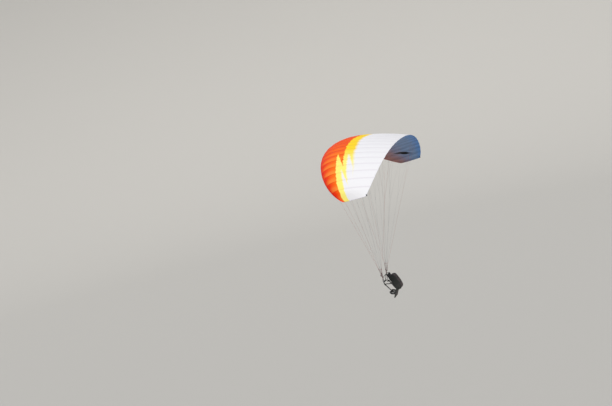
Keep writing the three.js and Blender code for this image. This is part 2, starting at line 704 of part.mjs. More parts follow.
const strapHalf = CHEST.x + CHEST.overlap;
const chestFront = CHEST.y - STRAP / 2 - GAP - CHEST.thick;
const chestStrap = new THREE.BoxGeometry(2 * strapHalf, CHEST.thick, CHEST.width);
chestStrap.translate(0, chestFront + CHEST.thick / 2, CHEST.z);
addHarness("harness_chest_strap", chestStrap, COLOURS.webbing);
const chestBuckle = buckle();
chestBuckle.translate(0, chestFront - GAP - BUCKLE.thick / 2, CHEST.z);
addHarness("harness_chest_buckle", chestBuckle, COLOURS.alloy, 0.9);

export default object;
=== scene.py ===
"""Speed wing: a small ram-air paraglider in flight, with its lines, risers, brake toggles and harness.

Metres, in the part's own frame: +X is the wing's left, +Y is aft, +Z is the wing's up.
"""
import math

import bmesh
import bpy
import numpy as np
from mathutils import Matrix, Quaternion, Vector, noise


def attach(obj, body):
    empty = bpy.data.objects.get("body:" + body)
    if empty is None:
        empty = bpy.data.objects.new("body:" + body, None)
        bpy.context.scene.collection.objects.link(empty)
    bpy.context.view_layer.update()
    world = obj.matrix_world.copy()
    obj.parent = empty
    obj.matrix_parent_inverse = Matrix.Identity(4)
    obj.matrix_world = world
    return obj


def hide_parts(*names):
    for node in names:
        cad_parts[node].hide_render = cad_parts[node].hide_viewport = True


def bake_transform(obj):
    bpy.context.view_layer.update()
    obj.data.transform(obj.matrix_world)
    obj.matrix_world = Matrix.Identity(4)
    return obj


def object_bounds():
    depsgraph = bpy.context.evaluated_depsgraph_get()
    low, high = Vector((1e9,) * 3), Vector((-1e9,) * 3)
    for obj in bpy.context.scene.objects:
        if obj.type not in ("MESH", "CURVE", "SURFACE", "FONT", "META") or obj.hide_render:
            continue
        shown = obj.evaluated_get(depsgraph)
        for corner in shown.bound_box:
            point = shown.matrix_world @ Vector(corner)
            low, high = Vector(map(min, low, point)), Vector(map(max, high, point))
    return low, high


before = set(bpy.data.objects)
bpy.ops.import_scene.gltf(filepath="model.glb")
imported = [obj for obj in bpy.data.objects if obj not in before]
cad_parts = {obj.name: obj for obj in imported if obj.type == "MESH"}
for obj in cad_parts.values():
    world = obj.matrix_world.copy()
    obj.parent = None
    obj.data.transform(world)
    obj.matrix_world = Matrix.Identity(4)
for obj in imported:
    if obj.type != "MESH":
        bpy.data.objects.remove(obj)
cad_box = [list(corner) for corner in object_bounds()]
bpy.ops.object.select_all(action="DESELECT")
for start_object in [o for o in bpy.context.scene.objects if o.type in {"CAMERA", "LIGHT"}]:
    bpy.data.objects.remove(start_object)


# Camera
# A long lens, 25 m off the wing's left wing tip and a little behind and above it.
# The wing banks away to its right, so the camera's horizon is turned against the wing's own.
CAMERA_PLACE = (23.678, 8.057, 2.114)
CAMERA_AZIMUTH = math.radians(112.808)
CAMERA_ELEVATION = math.radians(7.933)
CAMERA_ROLL = math.radians(-12.801)
FOCAL_LENGTH = 48.473  # in millimetres, as the sensor's width is
SENSOR_WIDTH = 36
FARTHEST_SEEN = 1000

camera_data = bpy.data.cameras.new("camera")
camera_data.lens = FOCAL_LENGTH
camera_data.sensor_width = SENSOR_WIDTH
camera_data.clip_end = FARTHEST_SEEN
camera = bpy.data.objects.new("camera", camera_data)
bpy.context.scene.collection.objects.link(camera)
bpy.context.scene.camera = camera
towards_camera = Vector((
    math.sin(CAMERA_AZIMUTH) * math.cos(CAMERA_ELEVATION),
    -math.cos(CAMERA_AZIMUTH) * math.cos(CAMERA_ELEVATION),
    math.sin(CAMERA_ELEVATION),
))
camera.rotation_mode = "QUATERNION"
camera.rotation_quaternion = (-towards_camera).to_track_quat("-Z", "Y") @ Quaternion((0, 0, 1), CAMERA_ROLL)
camera.location = CAMERA_PLACE


# Floor and light
# A plain pale floor well below the wing, whose rim curves up all round into a wall of the same colour.
# A soft sun stands high on the wing's left, with a pale sky all round to fill the shade.
FLOOR_DROP = 14.0
FLOOR_FLAT = 90.0
FLOOR_CURVE = 60.0
FLOOR_SIDES = 96
CURVE_STEPS = 12
FLOOR_COLOUR = (0.50, 0.49, 0.47, 1)
SKY_COLOUR = (0.93, 0.96, 1.0, 1)
SKY_STRENGTH = 0.55
SUN_FROM = Vector((0.66, 0.14, 0.74))
SUN_STRENGTH = 2.15
SUN_WIDTH = math.radians(6)
SUN_COLOUR = (1.0, 0.97, 0.92)

floor_place = (0, 0, cad_box[0][2] - FLOOR_DROP)
bpy.ops.mesh.primitive_circle_add(
    vertices=FLOOR_SIDES, radius=FLOOR_FLAT, fill_type="NGON", location=floor_place,
)
floor = bpy.context.object
floor.name = "floor"
bpy.ops.object.mode_set(mode="EDIT")
bpy.ops.mesh.select_all(action="SELECT")
for step in range(1, CURVE_STEPS + 1):
    angle = math.radians(90 * step / CURVE_STEPS)
    before = math.radians(90 * (step - 1) / CURVE_STEPS)
    radius = FLOOR_FLAT + FLOOR_CURVE * math.sin(angle)
    rise = FLOOR_CURVE * (math.cos(before) - math.cos(angle))
    growth = radius / (FLOOR_FLAT + FLOOR_CURVE * math.sin(before))
    mesh = bmesh.from_edit_mesh(floor.data)
    mesh.edges.ensure_lookup_table()
    for edge in mesh.edges:
        edge.select_set(len(edge.link_faces) == 1)
    bmesh.update_edit_mesh(floor.data)
    bpy.ops.mesh.extrude_edges_move(TRANSFORM_OT_translate={"value": (0, 0, rise)})
    bpy.ops.transform.resize(value=(growth, growth, 1))
bpy.ops.object.mode_set(mode="OBJECT")
bpy.ops.object.shade_smooth()

floor_finish = bpy.data.materials.new("floor_paper")
floor_finish.use_nodes = True
floor_shader = floor_finish.node_tree.nodes["Principled BSDF"]
floor_shader.inputs["Base Color"].default_value = FLOOR_COLOUR
floor_shader.inputs["Roughness"].default_value = 0.9
floor.data.materials.append(floor_finish)

sky = bpy.data.worlds.new("sky")
sky.use_nodes = True
sky.node_tree.nodes["Background"].inputs["Color"].default_value = SKY_COLOUR
sky.node_tree.nodes["Background"].inputs["Strength"].default_value = SKY_STRENGTH
bpy.context.scene.world = sky

sun_data = bpy.data.lights.new("sun", "SUN")
sun_data.energy = SUN_STRENGTH
sun_data.angle = SUN_WIDTH
sun_data.color = SUN_COLOUR
sun = bpy.data.objects.new("sun", sun_data)
sun.rotation_mode = "QUATERNION"
sun.rotation_quaternion = (-SUN_FROM).to_track_quat("-Z", "Y")
bpy.context.scene.collection.objects.link(sun)
bpy.context.scene.view_settings.view_transform = "Standard"


# Canopy, top cloth
# Coated ripstop nylon, sewn from one strip for each cell to the ribs between the cells. The air inside swells
# each strip, the stitching draws it in along the ribs, and at the nose it wraps round to the air inlets.
ROOT_CHORD = 2.300
TIP_CHORD = 0.694
HALF_SPAN = 3.443  # along the cloth
TIP_ANGLE = math.radians(42.2)
ARC_POWER = 1.17
ARC_STEPS = 200
NOSE_SHARE = 0.72  # of what the chord narrows by, taken off at the nose
TIP_TWIST = math.radians(-5.4)
CHORD_ORIGIN = 0.30
RIB_THICKNESS = 0.16
FOIL_TERMS = (0.2969, -0.126, -0.3516, 0.2843, -0.1036)  # a foil's half thickness, by powers of the place
CELL_SWELL = 0.12
CAMBER = 0.035
CAMBER_PLACE = 0.25
TAIL_HALF = 0.0012
TAIL_SHUT = 14  # a power: the higher it is, the nearer to the trailing edge the two cloths come together
TAIL_SCALLOP = 0.005  # how far the trailing edge draws forwards between ribs, in parts of the chord
CELLS = 23
MIDDLE_RIB = 2  # the middle piece of cloth, whose tail doesn't bend, reaches this far on both sides
LAST_OPEN_RIB = 9
LAST_RIB = 11  # from here to the wing tip the top cloth curves down to the under cloth and closes the side
OPEN_WRAP = 0.012  # how far the top cloth reaches round the nose of an open cell
INLET_END = 0.075
CLOSED_GAP = 0.0015  # between the wrapped nose of a closed cell and the under cloth's front edge
CLOTH = 0.0012
STRIP_STEPS = 12  # across one cell
CHORD_STEPS = 180
NOSE_STEPS = 14  # of them, round the nose and under it
EVEN_ROWS = 0.12  # how evenly the others are spaced: the rest of it crowds them towards the nose
SEWN_ROW = 0.97  # from here aft both cloths lie flat into the trailing edge's seam
ROUGH_DEPTH = 0.0025
ROUGH_PATCHES = (9, 5)  # along half the span, and along the chord
PUCKER = 0.0032
PUCKER_REACH = 0.034
PUCKER_PITCH = 0.088
PUCKER_WANDER = 1.3  # how many pitches the dents may shift along their seam
PUCKER_PHASE = 2.1  # from one rib to the next, so that their dents don't line up
PUCKER_FADE = (0.75, 0.2)  # places on the chord between which the dents deepen, forwards
SMOOTH_BELOW = math.radians(50)  # edges flatter than this don't show
MERGED = 1e-6


def rib_place(rib):
    return (2 * rib - 1) / CELLS


def section_at(span):
    """Where the chord line's nose lies at a place along the span, with the directions aft and up there."""
    side = -1 if span < 0 else 1
    s = abs(span)
    steps = (np.arange(ARC_STEPS) + 0.5) / ARC_STEPS * s
    slopes = TIP_ANGLE * steps**ARC_POWER
    across = float(np.cos(slopes).sum()) * s * HALF_SPAN / ARC_STEPS
    drop = float(np.sin(slopes).sum()) * s * HALF_SPAN / ARC_STEPS
    slope = TIP_ANGLE * s**ARC_POWER
    chord = ROOT_CHORD * math.sqrt(1 - (1 - (TIP_CHORD / ROOT_CHORD) ** 2) * s * s)
    twist = TIP_TWIST * s * s
    normal = Vector((side * math.sin(slope), 0, math.cos(slope)))
    back = Vector((0, 1, 0))
    nose = Vector((side * across, -CHORD_ORIGIN * ROOT_CHORD + (ROOT_CHORD - chord) * NOSE_SHARE, -drop))
    aft = back * math.cos(twist) - normal * math.sin(twist)
    up = normal * math.cos(twist) + back * math.sin(twist)
    return nose, aft, up, chord


def foil_height(place, face, chord, swell):
    """The height of the top (1) or under (-1) surface over the chord line, at a part of the chord."""
    p = max(place, 0)
    q = min(p / (1 - TAIL_SCALLOP * swell), 1)
    root, one, two, three, four = FOIL_TERMS
    thickness = RIB_THICKNESS * (1 + CELL_SWELL * swell)
    half = 5 * thickness * (root * math.sqrt(q) + one * q + two * q**2 + three * q**3 + four * q**4)
    if p < CAMBER_PLACE:
        camber = CAMBER / CAMBER_PLACE**2 * (2 * CAMBER_PLACE * p - p * p)
    else:
        camber = CAMBER / (1 - CAMBER_PLACE) ** 2 * (1 - 2 * CAMBER_PLACE + 2 * CAMBER_PLACE * p - p * p)
    return camber * chord + face * (half * chord + TAIL_HALF * (p - q**TAIL_SHUT))


def foil_point(place, face, chord, swell, out):
    """A point of a section's surface, along and over its chord line, moved outwards square to the surface."""
    if place <= 0.0002:
        return -out, 0.0
    height = foil_height(place, face, chord, swell)
    step = min(0.002, place / 2)
    rise = foil_height(place + step, face, chord, swell) - foil_height(place - step, face, chord, swell)
    slope = rise / (2 * step * chord)
    length = math.hypot(1, slope)
    return place * chord - face * slope * out / length, height + face * out / length


def smooth_step(low, high, value):
    t = min(max((value - low) / (high - low), 0), 1)
    return t * t * (3 - 2 * t)


def pucker(across, place, chord, rib, seed):
    """How far the stitching draws the cloth in beside a rib: short dents that fade away from the seam."""
    if rib > CELLS / 2:
        return 0  # the wing tip's edge has no rib under it
    along = place * chord / PUCKER_PITCH
    wobble = noise.noise(Vector((rib * 7.3 + seed, along * 0.35, 0)))
    dent = 0.5 + 0.5 * math.sin(2 * math.pi * (along + PUCKER_WANDER * wobble) + rib * PUCKER_PHASE)
    depth = PUCKER * (0.55 + 0.45 * smooth_step(*PUCKER_FADE, place)) * (0.6 + 0.8 * abs(wobble))
    return -depth * dent * math.exp(-((across / PUCKER_REACH) ** 2))


def roughness(span, place, swell, seed):
    """The cloth's slight unevenness, which ends at the ribs."""
    where = Vector((span * ROUGH_PATCHES[0], place * ROUGH_PATCHES[1], seed))
    return noise.noise(where) * ROUGH_DEPTH * swell


def wrap_end(span):
    """How far the top cloth reaches round the nose. Over one cell it goes on to close the outer cells."""
    closing = smooth_step(rib_place(LAST_OPEN_RIB), rib_place(LAST_OPEN_RIB + 1), abs(span))
    return OPEN_WRAP + (INLET_END - CLOSED_GAP - OPEN_WRAP) * closing


def cloth_grid(name, inner, outer, rows, surface):
    """A grid from one span place to another, each column a whole number of strip steps, shaped by surface."""
    columns = round(abs(outer - inner) * CELLS / 2 * STRIP_STEPS)
    bpy.ops.mesh.primitive_grid_add(x_subdivisions=columns, y_subdivisions=rows, size=2)
    cloth = bpy.context.object
    cloth.name = name
    spans = [inner + (outer - inner) * i / columns for i in range(columns + 1)]
    sections = [section_at(span) for span in spans]
    panel = {}
    for vertex in cloth.data.vertices:
        i = round((vertex.co.x + 1) / 2 * columns)
        row = (vertex.co.y + 1) / 2
        vertex.co, place = surface(spans[i], sections[i], row)
        panel[vertex.index] = (abs(spans[i]), place)
    strip = cloth.data.uv_layers[0]
    strip.name = "strip"
    for loop in cloth.data.loops:
        strip.data[loop.index].uv = panel[loop.vertex_index]
    return cloth


def cloth_in_three(name, rows, surface):
    """The middle cells' cloth, and the rest of it on the left and on the right."""
    joint = rib_place(MIDDLE_RIB)
    return {
        "centre": cloth_grid(f"{name}_centre", -joint, joint, rows, surface),
        "left": cloth_grid(f"{name}_left", joint, 1, rows, surface),
        "right": cloth_grid(f"{name}_right", -joint, -1, rows, surface),
    }


def strip_across(span):
    """The swell at this part of the way across a cell's strip, the nearest rib, and how far off it is."""
    cell = abs(span) * CELLS / 2 + 0.5
    part = cell - math.floor(cell)
    return 4 * part * (1 - part), round(cell), min(part, 1 - part) * 2 * HALF_SPAN / CELLS


def top_surface(span, section, row):
    nose, aft, up, chord = section
    swell, rib, across = strip_across(span)
    tail = 1 - TAIL_SCALLOP * swell
    nose_row = NOSE_STEPS / CHORD_STEPS
    if row < nose_row:
        t = 1 - row / nose_row
        place, face = wrap_end(span) * t * t, -1
    else:
        t = (row - nose_row) / (1 - nose_row)
        place, face = tail * (EVEN_ROWS * t + (1 - EVEN_ROWS) * (1 - math.cos(t * math.pi / 2))), 1
    out = roughness(span, place, swell, 4.2) + (pucker(across, place, chord, rib, 0.0) if face > 0 else 0)
    x, y = foil_point(place, face, chord, swell, out * smooth_step(1, SEWN_ROW, row))
    over = (abs(span) - rib_place(LAST_RIB)) / (1 - rib_place(LAST_RIB))
    if face > 0 and over > 0:
        y += min(foil_height(place, -1, chord, swell) + 2 * CLOTH - y, 0) * over * over
    return nose + aft * x + up * y, place * face


def choose(*pieces):
    """Selects these objects alone, and makes the first one active."""
    bpy.ops.object.select_all(action="DESELECT")
    for piece in pieces:
        piece.select_set(True)
    bpy.context.view_layer.objects.active = pieces[0]


def mend(piece, merge=False, cap=False):
    """Merges a mesh's doubled points, closes its ends and points its faces outwards."""
    choose(piece)
    bpy.ops.object.mode_set(mode="EDIT")
    bpy.ops.mesh.select_all(action="SELECT")
    if merge:
        bpy.ops.mesh.remove_doubles(threshold=MERGED)
        bpy.ops.mesh.select_all(action="SELECT")
    if cap:
        bpy.ops.mesh.fill_holes(sides=0)
        bpy.ops.mesh.select_all(action="SELECT")
    bpy.ops.mesh.normals_make_consistent(inside=False)
    bpy.ops.object.mode_set(mode="OBJECT")


def stiffen(cloth, thickness, offset, merge=False):
    """Gives a sheet its thickness, and points its faces outwards."""
    mend(cloth, merge)
    wall = cloth.modifiers.new("wall", "SOLIDIFY")
    wall.thickness = thickness
    wall.offset = offset
    bpy.ops.object.modifier_apply(modifier="wall")
    bpy.ops.object.shade_smooth_by_angle(angle=SMOOTH_BELOW)


canopy_top = cloth_in_three("canopy_top", CHORD_STEPS, top_surface)


def add_node(tree, kind, **settings):
    made = tree.nodes.new(kind)
    for name, value in settings.items():
        setattr(made, name, value)
    return made


def put(tree, socket, value):
    """Sets a node's input to a number, a colour or another node's output."""
    if isinstance(value, bpy.types.NodeSocket):
        tree.links.new(value, socket)
    elif isinstance(value, tuple) and len(value) == 3 and socket.type == "RGBA":
        socket.default_value = (*value, 1)
    else:
        socket.default_value = value


def sums(tree, operation, *values, clamp=False):
    made = add_node(tree, "ShaderNodeMath", operation=operation, use_clamp=clamp)
    for socket, value in zip(made.inputs, values):
        put(tree, socket, value)
    return made.outputs[0]


def times(tree, first, second):
    return sums(tree, "MULTIPLY", first, second)


def less(tree, first, second, clamp=False):
    return sums(tree, "SUBTRACT", first, second, clamp=clamp)


def ramp(tree, value, low, high):
    """0 below low, 1 above high and a soft rise between them; the other way round where low is above high."""
    made = add_node(tree, "ShaderNodeMapRange", interpolation_type="SMOOTHSTEP")
    put(tree, made.inputs["Value"], value)
    made.inputs["From Min"].default_value = min(low, high)
    made.inputs["From Max"].default_value = max(low, high)
    made.inputs["To Min"].default_value = 0 if low < high else 1
    made.inputs["To Max"].default_value = 1 if low < high else 0
    return made.outputs["Result"]


def mixed(tree, share, first, second, blend="MIX"):
    made = add_node(tree, "ShaderNodeMix", data_type="RGBA", blend_type=blend)
    put(tree, made.inputs[0], share)
    put(tree, made.inputs[6], first)
    put(tree, made.inputs[7], second)
    return made.outputs[2]


def axes(tree, vector):
    """A vector's X, Y and Z."""
    made = add_node(tree, "ShaderNodeSeparateXYZ")
    put(tree, made.inputs[0], vector)
    return made.outputs


def stretched(tree, vector, factors):
    made = add_node(tree, "ShaderNodeVectorMath", operation="MULTIPLY")
    put(tree, made.inputs[0], vector)
    made.inputs[1].default_value = factors
    return made.outputs[0]


def clouds(tree, where, scale, detail=2.0):
    """Noise in soft patches, from 0 to 1."""
    made = add_node(tree, "ShaderNodeTexNoise")
    put(tree, made.inputs["Vector"], where)
    made.inputs["Scale"].default_value = scale
    made.inputs["Detail"].default_value = detail
    return made.outputs["Fac"]


def uv_of(tree, name):
    return add_node(tree, "ShaderNodeUVMap", uv_map=name).outputs["UV"]


def object_place(tree):
    return add_node(tree, "ShaderNodeTexCoord").outputs["Object"]


def new_group(name, inputs, outputs):
    """An empty node group, with its inputs' names and defaults and the names of the numbers it puts out."""
    group = bpy.data.node_groups.new(name, "ShaderNodeTree")
    for label, default in inputs.items():
        kind = "NodeSocketVector" if isinstance(default, tuple) else "NodeSocketFloat"
        group.interface.new_socket(label, in_out="INPUT", socket_type=kind).default_value = default
    for label in outputs:
        group.interface.new_socket(label, in_out="OUTPUT", socket_type="NodeSocketFloat")
    return group, add_node(group, "NodeGroupInput").outputs, add_node(group, "NodeGroupOutput").inputs


def use_group(tree, group, **values):
    made = add_node(tree, "ShaderNodeGroup", node_tree=group)
    for name, value in values.items():
        put(tree, made.inputs[name], value)
    return made.outputs


def new_finish(name, roughness, metallic=0.0):
    """A new material, with its node tree and its shader."""
    finish = bpy.data.materials.new(name)
    finish.use_nodes = True
    shader = finish.node_tree.nodes["Principled BSDF"]
    shader.inputs["Roughness"].default_value = roughness
    shader.inputs["Metallic"].default_value = metallic
    return finish, finish.node_tree, shader


def raise_surface(tree, shader, height, strength, distance):
    """Feeds a height through a Bump node to the shader's normal."""
    bump = add_node(tree, "ShaderNodeBump")
    put(tree, bump.inputs["Height"], height)
    bump.inputs["Strength"].default_value = strength
    bump.inputs["Distance"].default_value = distance
    tree.links.new(bump.outputs["Normal"], shader.inputs["Normal"])


def dress(piece, finish, slot, body=None):
    """Gives a piece its material, and the body that it rides on. Its slot is not used."""
    piece.data.materials.append(finish)
    if body:
        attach(piece, body)


# the strips' seams: a line along each rib, a band of painted shade beside it, and each strip's outer flank,
# where a painted highlight goes on the top cloth and painted shade on the under cloth
seams, given, out = new_group("strip seams", {"Span": 0.0, "Width": 0.006}, ("Line", "Shade", "Outer flank"))
part = sums(seams, "FRACT", sums(seams, "MULTIPLY_ADD", given["Span"], CELLS / 2, 0.5))
edge = times(seams, sums(seams, "MINIMUM", part, less(seams, 1.0, part)), 2 * HALF_SPAN / CELLS)
put(seams, out["Line"], less(seams, 1.0, sums(seams, "DIVIDE", edge, given["Width"]), clamp=True))
put(seams, out["Shade"], ramp(seams, edge, 0.05, 0.0))
put(seams, out["Outer flank"], times(seams, ramp(seams, part, 0.25, 0.86), ramp(seams, part, 1.0, 0.92)))

# ripstop: a fine square grid of thicker threads, with the cloth's broad soft creases
ripstop, given, out = new_group("ripstop cloth", {"Strip": (0, 0, 0), "Threads": 0.006}, ("Height", "Crease"))
strip = axes(ripstop, given["Strip"])
grid = []
for socket, length in ((strip["X"], HALF_SPAN), (strip["Y"], 2.0)):
    thread = sums(ripstop, "FRACT", sums(ripstop, "DIVIDE", times(ripstop, socket, length), given["Threads"]))
    grid.append(sums(ripstop, "GREATER_THAN", thread, 0.8))
creases = clouds(ripstop, stretched(ripstop, given["Strip"], (42, 7, 1)), 1.0, 3.0)
put(ripstop, out["Crease"], creases)
put(ripstop, out["Height"], sums(ripstop, "MULTIPLY_ADD", sums(ripstop, "MAXIMUM", *grid), 0.02, creases))

# the flames: orange from the nose, yellow behind it and white aft, each edge given as places along the span
# and along the chord
ORANGE_EDGE = [(0, 0.39), (0.288, 0.386), (0.463, 0.397), (0.675, 0.408), (1, 0.408)]
SPIKE_FRONT = [
    (0, 0.302), (0.463, 0.302), (0.638, 0.292), (0.788, 0.272), (0.888, 0.234), (0.938, 0.207), (1, 0.096),
]
SPIKE_BACK = [(0, 0.302), (0.463, 0.302), (0.675, 0.408), (1, 0.45)]
WHITE_EDGE = [
    (0, 0.52), (0.15, 0.512), (0.363, 0.536), (0.475, 0.540), (0.6, 0.565), (0.69, 0.578), (1, 0.578),
]
INNER_TONGUE = (
    [(0, 0.465), (0.5, 0.465), (0.875, 0.476), (1, 0.479)],
    [(0, 0.465), (0.49, 0.465), (0.595, 0.522), (0.69, 0.578), (1, 0.64)],
)
OUTER_TONGUE = (
    [(0, 0.375), (0.7, 0.375), (0.79, 0.377), (0.835, 0.383), (0.905, 0.368), (1, 0.30)],
    [(0, 0.375), (0.7, 0.375), (0.875, 0.476), (1, 0.6)],
)
SHARP = 0.008  # the parts of the chord over which an orange edge, a tongue's edge and the white's front fade
SOFT = 0.03
SOFTEST = 0.04
RED = (0.84, 0.022, 0.003)
ORANGE = (0.95, 0.175, 0.008)
# the painted highlight's colour, laid on each strip's outer flank of the top cloth
PAINTED_HIGHLIGHT_ORANGE = (0.98, 0.36, 0.06)
YELLOW = (0.95, 0.66, 0.022)
PALE_YELLOW = (0.95, 0.84, 0.20)
WHITE = (0.82, 0.82, 0.86)
NOSE_SHADE = (0.38, 0.30, 0.35)  # the cloth's shade under the nose, where it meets the air inlets
SHADE_TINT = (0.86, 0.82, 0.86)
SEAM_TINT = (0.66, 0.62, 0.66)
CLOTH_RELIEF = (0.35, 0.004)  # the bump's strength and distance, on both cloths


def place_on_chord(tree, span, points):
    """A curve that gives an edge's place on the chord for each place along the span."""
    made = add_node(tree, "ShaderNodeFloatCurve")
    curve = made.mapping.curves[0]
    curve.points[0].location, curve.points[1].location = points[0], points[-1]
    for point in points[1:-1]:
        curve.points.new(*point)
    for point in curve.points:
        point.handle_type = "VECTOR"
    made.mapping.update()
    put(tree, made.inputs["Value"], span)
    return made.outputs["Value"]


def behind(tree, place, span, points, fade=SHARP):
    """1 where place is aft of the edge through these points, which fades over a part of the chord."""
    past = less(tree, place, place_on_chord(tree, span, points))
    return sums(tree, "MULTIPLY_ADD", past, 1 / fade, 0.5, clamp=True)


def between(tree, place, span, edges, fade=SHARP):
    front, back = (behind(tree, place, span, points, fade) for points in edges)
    return less(tree, front, back, clamp=True)


def cloth_finish(name, shine):
    """A canopy cloth's material, with its strips' places along the span and chord and the marks on them."""
    finish, tree, shader = new_finish(name, 0.5)
    shader.inputs["Specular IOR Level"].default_value = shine
    strip = uv_of(tree, "strip")
    span, chord_place = axes(tree, strip)[:2]
    cloth_marks = use_group(tree, ripstop, Strip=strip)
    raise_surface(tree, shader, cloth_marks["Height"], *CLOTH_RELIEF)
    return finish, tree, shader, span, chord_place, cloth_marks["Crease"], use_group(tree, seams, Span=span)


top_finish, tree, shader, span, chord_place, crease, seam_marks = cloth_finish("canopy_top_cloth", 0.08)
# the dye's edges lick to and fro a little
lick = sums(tree, "MULTIPLY_ADD", less(tree, crease, 0.5), 0.05, chord_place)
ahead = less(tree, 1.0, behind(tree, lick, span, ORANGE_EDGE))
orange_share = less(tree, ahead, between(tree, lick, span, (SPIKE_FRONT, SPIKE_BACK)), clamp=True)
white_share = behind(tree, lick, span, WHITE_EDGE, SOFTEST)
for edges in (INNER_TONGUE, OUTER_TONGUE):
    white_share = sums(tree, "MAXIMUM", white_share, between(tree, lick, span, edges, SOFT))
outwards = sums(tree, "MULTIPLY_ADD", ramp(tree, span, 0.15, 0.80), 0.75, 0.25)
glow = times(tree, ramp(tree, chord_place, 0.02, 0.30), outwards)
# painted highlight: each strip's outer flank is lightened to pale orange, more towards the wing tip, and
# faded by the creases
painted_highlight = times(tree, times(tree, seam_marks["Outer flank"], outwards), ramp(tree, chord_place, -0.01, 0.12))
painted_highlight_share = times(tree, painted_highlight, sums(tree, "MULTIPLY_ADD", crease, 0.5, 0.28))
flame = mixed(tree, painted_highlight_share, mixed(tree, glow, RED, ORANGE), PAINTED_HIGHLIGHT_ORANGE)
yellow = mixed(tree, ramp(tree, span, 0.35, 0.62), YELLOW, PALE_YELLOW)
panels = mixed(tree, orange_share, mixed(tree, white_share, yellow, WHITE), flame)
shaded = mixed(tree, times(tree, seam_marks["Shade"], 0.4), panels, SHADE_TINT, "MULTIPLY")
sewn = mixed(tree, times(tree, seam_marks["Line"], 0.5), shaded, SEAM_TINT, "MULTIPLY")
# painted shade on the wrapped cloth under the nose
under_nose = mixed(tree, ramp(tree, chord_place, 0.0, -0.02), sewn, NOSE_SHADE, "MULTIPLY")
put(tree, shader.inputs["Base Color"], under_nose)

for cloth in canopy_top.values():
    stiffen(cloth, CLOTH, -1)
    dress(cloth, top_finish, "canopy_top")

# the tail's bend with the brakes, for each cloth: a slope that follows the trailing edge's arc, and where it
# starts.
# bend_with_brake only turns the slope to its side and bakes the cloth's place; it bends nothing
TAIL_BEND = {"top": (Vector((2.288, 3.75, 7.05)), -6.97), "under": (Vector((2.288, 1.26, 7.95)), -2.96)}


def bend_with_brake(cloth, side, surface):
    slope, start = TAIL_BEND[surface]
    slope = Vector((slope.x if side == "left" else -slope.x, slope.y, slope.z))
    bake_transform(cloth)


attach(canopy_top["centre"], "wing")
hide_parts("centre_upper_skin")
for side in ("left", "right"):
    cloth = canopy_top[side]
    bend_with_brake(cloth, side, "top")
    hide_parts(*(f"{side}_{run}_upper_skin" for run in ("inner", "mid", "outer", "tip")))


# Canopy, under cloth
# The same coated ripstop, blue-grey, from the rear lip of the air inlets to the trailing edge, where it is
# sewn to the top cloth. It swells less than the top, and each line's loop draws a dimple in it.
UNDER_STEPS = 130
LINE_PLACES = (0.09, 0.34, 0.61)
LOADED_RIBS = (1, 3, 5, 7, 9, 11)
DIMPLE = 0.007
DIMPLE_REACH = 0.11
UNDER_PUCKER = 0.7  # of the top's
LENS_FRONT = (0.752, 0.315)  # a black lens shape on each outer half, from one place to the other
LENS_BACK = (0.912, 0.875)
LENS_HALF = 0.105  # its half width, in metres
LENS_SKEW = 0.7  # how much fuller it is towards its front
LENS_EDGE = 16.0  # how sharp its edge is
BLUE_GREY = (0.25, 0.37, 0.60)
SHADED_RUST = (0.46, 0.20, 0.16)
RIM_BLUE = (0.11, 0.35, 0.85)
LENS_BLACK = (0.004, 0.004, 0.006)
# painted shade for each strip's outer flank on the under cloth
FLANK_PAINTED_SHADE = (0.68, 0.70, 0.74)
CREASE_TINT = (0.86, 0.87, 0.90)
UNDER_SHADE_TINT = (0.75, 0.75, 0.78)
UNDER_SEAM_TINT = (0.45, 0.45, 0.50)


def under_surface(span, section, row):
    nose, aft, up, chord = section
    swell, rib, across = strip_across(span)
    tail = 1 - TAIL_SCALLOP * swell
    place = INLET_END + (tail - INLET_END) * row
    out = roughness(span, place, swell, 11.7) + pucker(across, place, chord, rib, 3.0) * UNDER_PUCKER
    if rib in LOADED_RIBS:
        for line_place in LINE_PLACES:
            away = math.hypot(across, (place - line_place) * chord)
            out += DIMPLE * math.exp(-((away / DIMPLE_REACH) ** 2))
    x, y = foil_point(place, -1, chord, swell, out * smooth_step(1, SEWN_ROW, row))
    return nose + aft * x + up * y, place


canopy_under = cloth_in_three("canopy_under", UNDER_STEPS, under_surface)

under_finish, tree, shader, span, chord_place, crease, seam_marks = cloth_finish("canopy_under_cloth", 0.10)
patches = sums(tree, "MULTIPLY_ADD", crease, 0.4, less(tree, chord_place, 0.2))
colour = mixed(tree, times(tree, ramp(tree, patches, 0.74, 0.14), 0.92), BLUE_GREY, SHADED_RUST)
colour = mixed(tree, times(tree, ramp(tree, chord_place, 0.80, 1.0), 0.75), colour, RIM_BLUE)
# painted shade: each strip's outer flank is darkened
colour = mixed(tree, times(tree, seam_marks["Outer flank"], 0.8), colour, FLANK_PAINTED_SHADE, "MULTIPLY")
colour = mixed(tree, ramp(tree, crease, 0.35, 0.65), colour, CREASE_TINT, "MULTIPLY")
# the lens: how far aside of its middle line a place is, against a bow that tapers towards both of its ends
lens_slope = (LENS_BACK[0] - LENS_FRONT[0]) / (LENS_BACK[1] - LENS_FRONT[1])
middle_line = sums(tree, "MULTIPLY_ADD", less(tree, chord_place, LENS_FRONT[1]), lens_slope, LENS_FRONT[0])
aside = sums(tree, "DIVIDE", sums(tree, "ABSOLUTE", less(tree, span, middle_line)), LENS_HALF / HALF_SPAN)
along = ramp(tree, chord_place, LENS_FRONT[1], LENS_BACK[1])
bow = times(tree, times(tree, along, less(tree, 1.0, along)), 4.0)
fuller = sums(tree, "MULTIPLY_ADD", along, -2 * LENS_SKEW, 1 + LENS_SKEW)
bow = times(tree, times(tree, bow, bow), fuller)
lens = sums(tree, "MULTIPLY_ADD", less(tree, bow, aside), LENS_EDGE, 0.5, clamp=True)
colour = mixed(tree, lens, colour, LENS_BLACK)
colour = mixed(tree, times(tree, seam_marks["Shade"], 0.6), colour, UNDER_SHADE_TINT, "MULTIPLY")
colour = mixed(tree, times(tree, seam_marks["Line"], 0.8), colour, UNDER_SEAM_TINT, "MULTIPLY")
put(tree, shader.inputs["Base Color"], colour)

